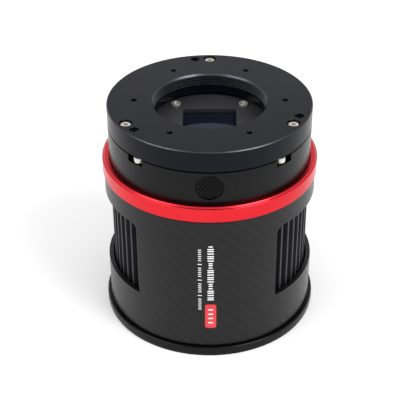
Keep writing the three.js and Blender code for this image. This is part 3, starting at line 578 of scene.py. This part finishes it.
def thread_profile(crest, root, start, end, pitch):
    """Points of a female thread's grooves from z start up to end, as (radius, z)."""
    groove = ((crest, 0.06), (root, 0.44), (root, 0.56), (crest, 0.94))
    points = []
    z = start
    while z + pitch <= end + 1e-6:
        points += [(radius, z + share * pitch) for radius, share in groove]
        z += pitch
    return points


def hole_cutter(bm, x, y, radius, floor, top, chamfer, segments=32):
    """A drilled hole that opens upwards at z top with a small chamfer."""
    lip = 0.02
    profile = [
        (0, floor),
        (radius, floor),
        (radius, top - chamfer),
        (radius + chamfer + lip, top + lip),
        (radius + chamfer + lip, top + PAST),
        (0, top + PAST),
    ]
    return turned(bm, profile, segments, at(x, y))


def counterbore_cutter(bm, x, y, bottom, seat, top):
    """A clearance hole from z bottom with a chamfered counterbore above z seat."""
    chamfer, lip = 0.15, 0.02
    mouth_r = COUNTERBORE_R + chamfer + lip
    profile = [
        (0, bottom),
        (SCREW_HOLE_R, bottom),
        (SCREW_HOLE_R, seat),
        (COUNTERBORE_R, seat),
        (COUNTERBORE_R, top - chamfer),
        (mouth_r, top + lip),
        (mouth_r, top + PAST),
        (0, top + PAST),
    ]
    return turned(bm, profile, 48, at(x, y))


def tilt_plate():
    """Nose ring with its thread, seal groove, accessory holes and tilt screw holes."""
    thread_top = NOSE_FACE - MOUTH_DEPTH - 0.08
    thread_start = thread_top - THREAD_DEPTH
    thread = thread_profile(THREAD_CREST_R, THREAD_ROOT_R, thread_start, thread_top, THREAD_PITCH)
    relief_r = THREAD_ROOT_R + 0.05
    groove_roof = PLATE_BOTTOM + SEAL_GROOVE_DEPTH
    lip_width, lip_drop = 1.2, 0.15
    edge, ease = 0.34, 0.07
    profile = [
        (THREAD_CREST_R, PLATE_BOTTOM),
        (SEAL_GROOVE_INNER_R, PLATE_BOTTOM),
        (SEAL_GROOVE_INNER_R, groove_roof),
        (SEAL_GROOVE_OUTER_R, groove_roof),
        (SEAL_GROOVE_OUTER_R, PLATE_BOTTOM),
        (PLATE_R - lip_width, PLATE_BOTTOM),
        (PLATE_R - lip_width + 0.1, PLATE_BOTTOM - lip_drop),
        (PLATE_R - 0.1, PLATE_BOTTOM - lip_drop),
        (PLATE_R, PLATE_BOTTOM - lip_drop + 0.1),
        (PLATE_R, NOSE_FACE - edge),
        (PLATE_R - 0.05, NOSE_FACE - edge + ease),
        (PLATE_R - edge + ease, NOSE_FACE - 0.05),
        (PLATE_R - edge, NOSE_FACE),
        (MOUTH_R, NOSE_FACE),
        (MOUTH_R - 0.14, NOSE_FACE - MOUTH_DEPTH),
        (THREAD_ROOT_R, NOSE_FACE - MOUTH_DEPTH - 0.05),
    ]
    profile += list(reversed(thread))
    profile += [
        (relief_r, thread_start - 0.1),
        (relief_r, thread_start - 0.5),
        (THREAD_CREST_R, thread_start - 0.7),
        (THREAD_CREST_R, PLATE_BOTTOM),
    ]
    bm = bmesh.new()
    turned(bm, profile, 192)
    plate = object_from(bm, "nose_ring")
    cutters = bmesh.new()
    for i in range(ACCESSORY_HOLES):
        x, y = on_circle(ACCESSORY_CIRCLE_R, 360 / ACCESSORY_HOLES * i)
        floor = NOSE_FACE - ACCESSORY_HOLE_DEPTH
        hole_cutter(cutters, x, y, ACCESSORY_HOLE_R, floor, NOSE_FACE, 0.22)
    for node in copies("tilt_pull_screw"):
        c = centre(node)
        seat = node_box(node)[1].z - COUNTERBORE_DEPTH
        counterbore_cutter(cutters, c.x, c.y, PLATE_BOTTOM - PAST, seat, NOSE_FACE)
    for node in copies("tilt_push_screw"):
        c = centre(node)
        hole_cutter(cutters, c.x, c.y, c_radius(node) + 0.2, PLATE_BOTTOM - PAST, NOSE_FACE, 0.2, 40)
    boolean(plate, cutters)
    shade(plate, 25)
    dress(plate, MATERIALS["black_anodised"], "tilt_plate", "black_anodised", "tilt_plate")

    # The rim chamfer and the thread flanks that look up are picked for the painted highlight
    def painted_highlight_face(radius, z, normal):
        rim = radius > PLATE_R - 0.5 and z > NOSE_FACE - 0.5
        threaded = radius < MOUTH_R and z > thread_start
        return slanted(normal) and (rim or threaded)

    accent_faces(plate, PAINTED_HIGHLIGHT, painted_highlight_face)


# ---- Screws -----------------------------------------------------------------------------


def cap_screw(bm, matrix, head_r, head_height, shank_r, length, flats):
    """Socket-head screw with a rounded, knurled head; its origin is under the head.

    The walls and the floor of the hexagonal recess take the second material, a near-black metal that
    paints shade into the recess.
    """
    knurls, knurl_depth = 24, 0.05
    count = knurls * 4
    recess_floor = head_height * (1 - 0.62)
    recess_r = flats / math.sqrt(3)
    rows = [
        (shank_r, -length + 0.25, False),
        (shank_r, 0.0, False),
        (head_r - 0.12, 0.0, False),
        (head_r, 0.12, True),
        (head_r, head_height - 0.28, True),
        (head_r - 0.10, head_height - 0.08, False),
        (head_r - 0.30, head_height, False),
        (recess_r * 1.12, head_height, False),
    ]
    rings = []
    for radius, z, knurled in rows:
        ring = []
        for i in range(count):
            angle = TURN * i / count
            r = radius - (knurl_depth if knurled and i % 4 < 2 else 0.0)
            ring.append(bm.verts.new((r * math.cos(angle), r * math.sin(angle), z)))
        rings.append(ring)
    for z in (head_height - 0.12, recess_floor):
        ring = []
        for i in range(count):
            angle = TURN * i / count
            from_flat = (angle + TURN / 12) % (TURN / 6) - TURN / 12
            r = recess_r * math.cos(TURN / 12) / math.cos(from_flat)
            ring.append(bm.verts.new((r * math.cos(angle), r * math.sin(angle), z)))
        rings.append(ring)
    for number, (low, high) in enumerate(zip(rings, rings[1:])):
        for i in range(count):
            j = (i + 1) % count
            face = bm.faces.new((low[i], low[j], high[j], high[i]))
            face.material_index = 1 if number >= len(rows) else 0
    tip = bm.verts.new((0, 0, -length))
    floor = bm.verts.new((0, 0, recess_floor - 0.25))
    for ring, pole, index in ((rings[0], tip, 0), (rings[-1], floor, 1)):
        for i in range(count):
            face = bm.faces.new((ring[i], ring[(i + 1) % count], pole))
            face.material_index = index
    made = [vert for ring in rings for vert in ring] + [tip, floor]
    bmesh.ops.transform(bm, matrix=matrix, verts=made)


def screws(base, body, slot, head_r, head_height, shank_r, flats, flip=False, turn=0.0):
    """Detailed screws in place of a CAD screw's copies, each key recess turned one step on.

    flip puts the head underneath; {} in body stands for the copy's number.
    """
    for number, node in enumerate(copies(base), 1):
        low, high = node_box(node)
        c = (low + high) / 2
        length = (high.z - low.z) - head_height
        matrix = at(c.x, c.y, low.z + head_height if flip else high.z - head_height)
        if flip:
            matrix = matrix @ Matrix.Rotation(TURN / 2, 4, "X")
        bm = bmesh.new()
        matrix = matrix @ about_z(turn * number)
        cap_screw(bm, matrix, head_r, head_height, shank_r, length, flats)
        piece = shade(object_from(bm, f"{node}_detail"), 28)
        dress(piece, MATERIALS[slot], body.format(number), slot, node)
        # The key recess takes the near-black metal, painted shade in the recess
        piece.data.materials.append(RECESS_PAINTED_SHADE)


def grub_screws():
    """Push screws: a cone point, a thread and a hexagonal recess on top."""
    tip_r, tip_length, cone_top = 0.75, 0.9, 1.65
    pitch, depth = 0.45, 0.2
    recess_r, recess_depth = 0.92, 1.5
    for number, node in enumerate(copies("tilt_push_screw"), 1):
        low, high = node_box(node)
        c = (low + high) / 2
        length, radius = high.z - low.z, c_radius(node)
        place = at(c.x, c.y, low.z)
        profile = [(0, 0), (tip_r, 0), (tip_r, tip_length), (radius, cone_top)]
        z = cone_top + 0.05
        while z < length - 0.6:
            profile += [(radius - depth, z + 0.1), (radius, z + 0.32)]
            z += pitch
        profile += [(radius, length - 0.25), (radius - 0.25, length), (0, length)]
        bm = bmesh.new()
        turned(bm, profile, 36, place)
        piece = object_from(bm, f"{node}_detail")
        recess = bmesh.new()
        prism(recess, polygon(recess_r, 6), length - recess_depth, length + PAST, place)
        boolean(piece, recess)
        shade(piece, 30)
        dress(piece, MATERIALS["black_screw"], f"push_screw_{number}", "black_screw", node)


# ---- Front body -------------------------------------------------------------------------


def drill(bm, base, floor, top, radius=SCREW_HOLE_R):
    """Adds a plain cylinder at every copy of a screw."""
    for node in copies(base):
        c = centre(node)
        turned(bm, [(0, floor), (radius, floor), (radius, top), (0, top)], 24, at(c.x, c.y))


def front_body():
    """Housing with its stepped bore, board posts, screw pockets and desiccant bore."""
    recess_r = WINDOW_PLATE_HIGH.x + GAP
    recess_floor = WINDOW_PLATE_LOW.z - GAP
    edge, rows = 0.4, 6
    rise = (BODY_TOP - BODY_BOTTOM - 2 * edge) / rows
    profile = [(CHAMBER_R, BODY_BOTTOM), (BODY_R - edge, BODY_BOTTOM)]
    profile += [(BODY_R, BODY_BOTTOM + edge + rise * i) for i in range(rows)]
    profile += [
        (BODY_R, BODY_TOP - 0.15),
        (BODY_R - 0.04, BODY_TOP - 0.06),
        (BODY_R - 0.14, BODY_TOP),
        (recess_r, BODY_TOP),
        (recess_r, recess_floor),
        (GLASS_POCKET_R, recess_floor),
        (GLASS_POCKET_R, LEDGE_TOP),
        (LEDGE_R, LEDGE_TOP),
        (LEDGE_R, CHAMBER_CEILING),
        (CHAMBER_R, CHAMBER_CEILING),
        (CHAMBER_R, BODY_BOTTOM),
    ]
    bm = bmesh.new()
    turned(bm, profile, 192)
    body = object_from(bm, "chamber_housing")

    post_bottom, post_r = 67.9, 2.2
    posts = bmesh.new()
    drill(posts, "sensor_board_screw", post_bottom, CHAMBER_CEILING + PAST, post_r)
    boolean(body, posts, "UNION")

    pocket_inner_r, pocket_length, pocket_width, pocket_corner = 33.2, 8.0, 7.1, 1.5
    pockets = bmesh.new()
    outline = rounded_rectangle(pocket_length, pocket_width, pocket_corner)
    for node in copies("chamber_screw"):
        c = centre(node)
        floor = node_box(node)[1].z - COUNTERBORE_DEPTH
        pocket = about_z(math.atan2(c.y, c.x)) @ at(pocket_inner_r + pocket_length / 2, 0)
        prism(pockets, outline, floor, BODY_TOP + PAST, pocket)
    boolean(body, pockets)

    holes = bmesh.new()
    drill(holes, "chamber_screw", 59, 77)
    drill(holes, "tilt_pull_screw", 71.5, 80)
    drill(holes, "window_plate_screw", 71.8, 77)
    drill(holes, "sensor_board_screw", 66, 71.9)
    boolean(body, holes)

    bore_r, past_wall = PLUG_R + 0.12, BODY_R + 1.5
    profile = [
        (0, CARTRIDGE_BORE_FLOOR),
        (CARTRIDGE_BORE_R, CARTRIDGE_BORE_FLOOR),
        (CARTRIDGE_BORE_R, PLUG_SEAT),
        (bore_r, PLUG_SEAT),
        (bore_r, past_wall),
        (0, past_wall),
    ]
    bore = bmesh.new()
    turned(bore, profile, 64, toward_front(PLUG_Z))
    boolean(body, bore)
    shade(body, 25)
    dress(body, BODY_BLACK, "main_body", "black_anodised", "front_body")


def diamond_pad(bm, x, z, half_x, half_z, foot, top):
    """A pyramid stump with diamond corners, standing on a face that looks to -Y."""
    corners = ((half_x, 0), (0, half_z), (-half_x, 0), (0, -half_z))
    taper = 0.45
    low = [bm.verts.new((x + dx, -foot, z + dz)) for dx, dz in corners]
    high = [bm.verts.new((x + dx * taper, -top, z + dz * taper)) for dx, dz in corners]
    bm.faces.new(low)
    bm.faces.new(list(reversed(high)))
    for k in range(4):
        m = (k + 1) % 4
        bm.faces.new((low[k], high[k], high[m], low[m]))


def desiccant_plug():
    """Round plug whose face carries a knurled diamond mesh."""
    reach = -PLUG_LOW.y
    face = reach - 0.4
    head_back = reach - 2.0
    stem_r, stem_end = 3.9, reach - 6.8
    profile = [
        (0, stem_end),
        (stem_r, stem_end),
        (stem_r, head_back),
        (PLUG_R - 0.1, head_back),
        (PLUG_R, head_back + 0.2),
        (PLUG_R, face - 0.1),
        (PLUG_R - 0.12, face),
        (0, face),
    ]
    bm = bmesh.new()
    turned(bm, profile, 96, toward_front(PLUG_Z))
    pitch, half, stretch = 1.5, 0.55, 1.25
    limit = PLUG_R - 0.1
    steps = int(limit / pitch * 2) + 2
    for i in range(-steps, steps + 1):
        for j in range(-steps, steps + 1):
            x = (i + j) * pitch / 2
            z = (i - j) * pitch / 2 * stretch
            if math.hypot(x, z) > limit - half:
                continue
            diamond_pad(bm, x, PLUG_Z + z, half * 1.05, half * 1.3, face - 0.05, reach - 0.06)
    plug = shade(object_from(bm, "desiccant_plug_knurled"), 25)
    dress(plug, KNURL_BLACK, "desiccant_plug", "black_anodised", "desiccant_plug")


def window_plate():
    """Plate over the chamber's mouth, with a rectangular aperture and sunk screw seats."""
    bottom, top, radius = WINDOW_PLATE_LOW.z, WINDOW_PLATE_HIGH.z, WINDOW_PLATE_HIGH.x
    edge = 0.2
    aperture = rounded_rectangle(19.8, 19.0, 0.8)
    seat_r, seat = 2.15, top - 0.6
    profile = [(0, bottom), (radius, bottom), (radius, top - edge), (radius - edge, top), (0, top)]
    bm = bmesh.new()
    turned(bm, profile, 128)
    plate = object_from(bm, "aperture_plate")
    profile = [
        (0, bottom - PAST),
        (SCREW_HOLE_R, bottom - PAST),
        (SCREW_HOLE_R, seat),
        (seat_r, seat),
        (seat_r, top + PAST),
        (0, top + PAST),
    ]
    cutters = bmesh.new()
    prism(cutters, aperture, bottom - PAST, top + PAST)
    for node in copies("window_plate_screw"):
        c = centre(node)
        turned(cutters, profile, 32, at(c.x, c.y))
    boolean(plate, cutters)
    soften(plate, 0.1, 2)
    dress(plate, MATTE_BLACK, "main_body", "black_anodised", "window_plate")


def protective_window():
    """Round window with broken edges."""
    bottom, top, radius = GLASS_LOW.z, GLASS_HIGH.z, GLASS_HIGH.x
    edge = 0.2
    profile = [
        (0, bottom),
        (radius - edge, bottom),
        (radius, bottom + edge),
        (radius, top - edge),
        (radius - edge, top),
        (0, top),
    ]
    bm = bmesh.new()
    turned(bm, profile, 96)
    glass = shade(object_from(bm, "coated_window"), 30)
    dress(glass, MATERIALS["coated_glass"], "main_body", "coated_glass", "protective_window")


# ---- Ring, shell and label --------------------------------------------------------------


def accent_ring():
    """Red ring with a broken lower edge and a shallow step below its rounded crest."""
    bottom, top, radius = RING_LOW.z, RING_HIGH.z, RING_HIGH.x
    inner = BODY_R + 0.12
    lower_edge = 0.35
    # Inward and down from the upper outer corner
    step_and_crest = (
        (0.00, 0.85),
        (0.03, 0.72),
        (0.12, 0.62),
        (0.26, 0.56),
        (0.46, 0.52),
        (0.60, 0.44),
        (0.68, 0.30),
        (0.78, 0.14),
        (0.92, 0.04),
        (1.10, 0.00),
    )
    profile = [
        (inner, bottom),
        (radius - lower_edge, bottom),
        (radius - 0.1, bottom + 0.1),
        (radius, bottom + lower_edge),
    ]
    profile += [(radius - inward, top - down) for inward, down in step_and_crest]
    profile += [(inner + 0.1, top), (inner, top - 0.1), (inner, bottom)]
    bm = bmesh.new()
    turned(bm, profile, 256)
    ring = shade(object_from(bm, "red_ring"), 50)
    dress(ring, MATERIALS["red_anodised"], "main_body", "red_anodised", "accent_ring")
    # The slanted faces of the crest and step take the glossier red with its painted highlight
    accent_faces(ring, RED_PAINTED_HIGHLIGHT, lambda radius, z, normal: slanted(normal) and z > top - 0.75)


def vent_outline():
    """Side window seen from the side: round upper corners and nearly square lower ones."""
    upper, lower = VENT_TOP_CORNER, VENT_BOTTOM_CORNER
    corners = (
        (VENT_HALF_WIDTH - upper, VENT_TOP - upper, upper),
        (-VENT_HALF_WIDTH + upper, VENT_TOP - upper, upper),
        (-VENT_HALF_WIDTH + lower, VENT_BOTTOM + lower, lower),
        (VENT_HALF_WIDTH - lower, VENT_BOTTOM + lower, lower),
    )
    steps = 8
    outline = []
    for quarter, (cy, cz, radius) in enumerate(corners):
        for step in range(steps + 1):
            angle = (quarter + step / steps) * TURN / 4
            outline.append((cy + radius * math.cos(angle), cz + radius * math.sin(angle)))
    return outline


def shell():
    """Carbon-fibre tube with two side windows, cut by one prism along X."""
    inner = SHELL_R - SHELL_WALL
    bottom, top = SHELL_LOW.z, SHELL_HIGH.z
    lower_edge, upper_edge, rows = 0.25, 0.15, 12
    levels = [bottom + (top - bottom) * i / rows for i in range(1, rows)]
    levels = [bottom + lower_edge] + levels + [top - upper_edge]
    profile = [(inner, bottom), (SHELL_R - lower_edge, bottom)]
    profile += [(SHELL_R, z) for z in levels]
    profile += [(SHELL_R - upper_edge, top), (inner, top), (inner, bottom)]
    bm = bmesh.new()
    turned(bm, profile, 192)
    tube = object_from(bm, "carbon_tube")
    z_to_x = Matrix(((0, 0, 1, 0), (1, 0, 0, 0), (0, 1, 0, 0), (0, 0, 0, 1)))
    reach = SHELL_R + PAST
    cutter = bmesh.new()
    prism(cutter, vent_outline(), -reach, reach, about_z(SHELL_TURN) @ z_to_x)
    boolean(tube, cutter)
    soften(tube, 0.16, 2, 40)
    dress(tube, MATERIALS["carbon_shell"], "main_body", "carbon_shell", "shell")


def print_patch(bm, azimuth, z, width, height, corner, lift=0.05):
    """A thin printed patch on the shell: width runs round it and height along it."""
    outline = rounded_rectangle(width, height, corner, 4)
    rings = []
    for radius in (SHELL_R - 0.03, SHELL_R + lift):
        ring = []
        for u, v in outline:
            angle = math.radians(azimuth) + u / SHELL_R
            ring.append(bm.verts.new((radius * math.cos(angle), radius * math.sin(angle), z + v)))
        rings.append(ring)
    low, high = rings
    bm.faces.new(list(reversed(low)))
    bm.faces.new(high)
    for i, vert in enumerate(low):
        j = (i + 1) % len(low)
        bm.faces.new((vert, low[j], high[j], high[i]))


def label():
    """Rows of plain printed dashes in place of lettering, and a plain red badge below them."""
    main_azimuth, small_azimuth = 270.5, 264.8
    dashes = bmesh.new()
    z, cell_pitch = 49.4, 3.1
    for cell in range(8):
        for stroke in (0.0, 1.15, 2.0):
            width = 2.3 if (cell + (stroke > 1)) % 3 else 1.5
            print_patch(dashes, main_azimuth, z - stroke, width, 0.5, 0.15)
        z -= cell_pitch
    z, stroke_pitch, group_gap = 47.9, 0.92, 0.75
    for group in (6, 1, 5, 1, 5, 1, 6):
        width = 1.5 if group == 1 else 1.15
        for _ in range(group):
            print_patch(dashes, small_azimuth, z, width, 0.36, 0.1)
            z -= stroke_pitch
        z -= group_gap
    piece = shade(object_from(dashes, "printed_dashes"), 30)
    dress(piece, MATERIALS["white_print"], "main_body", "carbon_shell")

    badge_z, badge_width, badge_height = 18.0, 4.1, 11.0
    badge = bmesh.new()
    print_patch(badge, main_azimuth, badge_z, badge_width, badge_height, 0.9)
    piece = shade(object_from(badge, "printed_badge"), 30)
    dress(piece, MATERIALS["red_print"], "main_body", "carbon_shell")

    marks = bmesh.new()
    for step in (-3, -1, 1, 3):
        print_patch(marks, main_azimuth, badge_z + step, 1.9, 0.5, 0.2, 0.09)
    piece = shade(object_from(marks, "badge_dashes"), 30)
    dress(piece, MATERIALS["white_print"], "main_body", "carbon_shell")


# ---- Rear cover and fan -----------------------------------------------------------------


def rear_cover():
    """Cover with its rim, spigot, grille, ports and counterbores; the rim, the spigot and the
    counterbores have broken edges.
    """
    rim, plate = REAR_RIM_TOP, REAR_PLATE_TOP
    spigot_r, spigot_wall, spigot_edge = 37.5, 0.9, 0.15
    profile = [
        (0, 0),
        (REAR_R - 0.5, 0),
        (REAR_R - 0.15, 0.15),
        (REAR_R, 0.5),
        (REAR_R, rim - 0.5),
        (REAR_R - 0.12, rim - 0.2),
        (REAR_R - 0.4, rim),
        (spigot_r, rim),
        (spigot_r, SPIGOT_TOP - spigot_edge),
        (spigot_r - spigot_edge, SPIGOT_TOP),
        (spigot_r - spigot_wall + spigot_edge, SPIGOT_TOP),
        (spigot_r - spigot_wall, SPIGOT_TOP - spigot_edge),
        (spigot_r - spigot_wall, plate),
        (0, plate),
    ]
    bm = bmesh.new()
    turned(bm, profile, 192)
    cover = object_from(bm, "rear_plate")

    notch_width = 29.8
    notch = bmesh.new()
    outline = rounded_rectangle(notch_width, 2 * REAR_R, 0.4, 2)
    prism(notch, outline, rim, SPIGOT_TOP + PAST)
    boolean(cover, notch)

    above = plate + 4
    head_room, hole_r, chamfer = 1.7, 1.5, 0.25
    holes = bmesh.new()
    for node in copies("rear_screw") + copies("fan_screw"):
        c = centre(node)
        seat_r = c_radius(node) + 0.2
        bore = [
            (0, -PAST),
            (seat_r + chamfer, -PAST),
            (seat_r + chamfer, -0.02),
            (seat_r, 0.2),
            (seat_r, head_room),
            (hole_r, head_room),
            (hole_r, above),
            (0, above),
        ]
        turned(holes, bore, 32, at(c.x, c.y))
    port_room = 0.5
    for node in ("usb3_socket", "usb2_socket_1", "usb2_socket_2"):
        c = centre(node)
        low, high = node_box(node)
        outline = rounded_rectangle(high.x - low.x + port_room, high.y - low.y + port_room, 0.5)
        prism(holes, outline, -PAST, above, at(c.x, c.y))
    power_r, power_y = 4.05, 31
    bore = [(0, -PAST), (power_r, -PAST), (power_r, above), (0, above)]
    turned(holes, bore, 48, at(0, power_y))
    # Rings of the fan's grille: number of slots, inner and outer end, width
    for count, inner, outer, width in ((9, 6.0, 13.0, 3.0), (18, 15.0, 22.6, 3.2)):
        for i in range(count):
            slot = rounded_rectangle(outer - inner, width, 1.1, 5)
            spoke = about_z(TURN * i / count) @ at((inner + outer) / 2, 0)
            prism(holes, slot, -PAST, above, spoke)
    boolean(cover, holes)
    shade(cover, 25)
    dress(cover, BODY_BLACK, "main_body", "black_anodised", "rear_cover")


def blade_grid(bm, start_angle, hub_r, tip_r, middle, half_height, side):
    """One face of a swept, twisted blade as rows of points from the hub to the tip."""
    rows, columns = 9, 9
    root_r = hub_r - 0.4
    grid = []
    for row in range(rows):
        share = row / (rows - 1)
        radius = root_r + (tip_r - root_r) * share
        half_span = 0.42 - 0.10 * share
        sweep = 0.30 * share * share
        pitch = half_height * (0.95 - 0.25 * share)
        line = []
        for column in range(columns):
            along = column / (columns - 1) * 2 - 1
            thickness = side * (1 - 0.6 * along * along)
            angle = start_angle + along * half_span + sweep
            z = middle + pitch * along + thickness
            line.append(bm.verts.new((radius * math.cos(angle), radius * math.sin(angle), z)))
        grid.append(line)
    return grid


def fan_blade(bm, *place):
    """A blade closed by its upper face, its lower face and the wall between them."""
    half_thickness = 0.35
    upper = blade_grid(bm, *place, half_thickness)
    under = blade_grid(bm, *place, -half_thickness)
    last_row, last = len(upper) - 1, len(upper[0]) - 1
    for row in range(last_row):
        for column in range(last):
            for grid in (upper, under):
                near, far = grid[row], grid[row + 1]
                bm.faces.new((near[column], far[column], far[column + 1], near[column + 1]))
    border = [(0, column) for column in range(last)]
    border += [(row, last) for row in range(last_row)]
    border += [(last_row, column) for column in range(last, 0, -1)]
    border += [(row, 0) for row in range(last_row, 0, -1)]
    for (r0, c0), (r1, c1) in zip(border, border[1:] + border[:1]):
        bm.faces.new((upper[r0][c0], upper[r1][c1], under[r1][c1], under[r0][c0]))


def fan_rotor():
    """Hub with seven swept, twisted blades."""
    low, high = node_box("fan_rotor")
    bottom, top = low.z, high.z
    hub_r, tip_r, blades = 9.2, 22.2, 7
    profile = [
        (0, bottom),
        (hub_r - 1.0, bottom),
        (hub_r - 0.3, bottom + 0.3),
        (hub_r, bottom + 1.0),
        (hub_r, top),
        (0, top),
    ]
    bm = bmesh.new()
    turned(bm, profile, 64)
    middle, half_height = (bottom + top) / 2, (top - bottom) / 2 - 0.35
    for blade in range(blades):
        fan_blade(bm, TURN * blade / blades, hub_r, tip_r, middle, half_height)
    rotor = shade(object_from(bm, "impeller"), 35)
    dress(rotor, MATERIALS["black_plastic"], "fan_rotor", "black_plastic", "fan_rotor")


# ---- Floor, light and camera ------------------------------------------------------------


def floor():
    """Plain pale floor."""
    half_size = 4000
    bm = bmesh.new()
    bmesh.ops.create_grid(bm, x_segments=8, y_segments=8, size=half_size)
    sheet = object_from(bm, "floor")
    nodes = Nodes("floor")
    tone = nodes.noise(nodes.position(), 3.0)
    dark, light = (0.90, 0.90, 0.90), (0.92, 0.92, 0.92)
    colour = nodes.ramp(tone, ((0.3, dark), (0.7, light)))
    nodes.link(colour, nodes.shader.inputs["Base Color"])
    nodes.set(Roughness=0.9)
    sheet.data.materials.append(nodes.material)


def lights():
    """White surroundings and two soft discs that look at the middle of the camera, in metres."""
    world = bpy.data.worlds.new("studio")
    world.use_nodes = True
    background = world.node_tree.nodes["Background"]
    background.inputs["Color"].default_value = (1, 1, 1, 1)
    background.inputs["Strength"].default_value = 0.90
    bpy.context.scene.world = world
    target = Vector((0, 0, 0.04))
    for name, place, size, power in (
        ("key", (0.42, -0.34, 0.62), 0.42, 3.6),
        ("fill", (-0.50, -0.22, 0.62), 0.5, 2.0),
    ):
        light = bpy.data.lights.new(name, "AREA")
        light.shape = "DISK"
        light.size = size
        light.energy = power
        obj = bpy.data.objects.new(name, light)
        obj.location = place
        obj.rotation_euler = (target - Vector(place)).to_track_quat("-Z", "Y").to_euler()
        bpy.context.scene.collection.objects.link(obj)
    bpy.context.scene.view_settings.view_transform = "Standard"


def camera():
    """Looks down at the nose from the front, with a touch of pan and roll; place in metres."""
    pan, pitch, roll = math.radians(0.105), math.radians(56.30), math.radians(-0.08)
    data = bpy.data.cameras.new("camera")
    data.sensor_width = 36.0
    data.lens = 94.38
    data.clip_start = 0.01
    data.clip_end = 20.0
    obj = bpy.data.objects.new("camera", data)
    obj.location = (0.0, -0.35135, 0.27379)
    tilt = about_z(pan) @ Matrix.Rotation(pitch, 4, "X")
    obj.rotation_euler = (tilt @ about_z(roll)).to_euler()
    bpy.context.scene.collection.objects.link(obj)
    bpy.context.scene.camera = obj


# ---- Assembly ---------------------------------------------------------------------------

camera()
floor()
lights()
dress_cad_nodes()
tilt_plate()
front_body()
desiccant_plug()
window_plate()
protective_window()
accent_ring()
shell()
label()
rear_cover()
fan_rotor()

m2 = (SCREW_HEAD_R, 2.0, SCREW_SHANK_R, 1.5)
m2_low_head = (SCREW_HEAD_R, 1.0, SCREW_SHANK_R, 1.3)
screws("rear_screw", "main_body", "black_screw", 2.3, 1.2, 1.2, 1.5, flip=True)
screws("fan_screw", "main_body", "black_screw", 2.6, 1.2, 1.2, 2.0, flip=True)
screws("tilt_pull_screw", "pull_screw_{}", "steel_screw", *m2, turn=0.4)
grub_screws()
screws("chamber_screw", "main_body", "steel_screw", *m2, turn=0.3)
screws("window_plate_screw", "main_body", "steel_screw", *m2_low_head, turn=0.5)
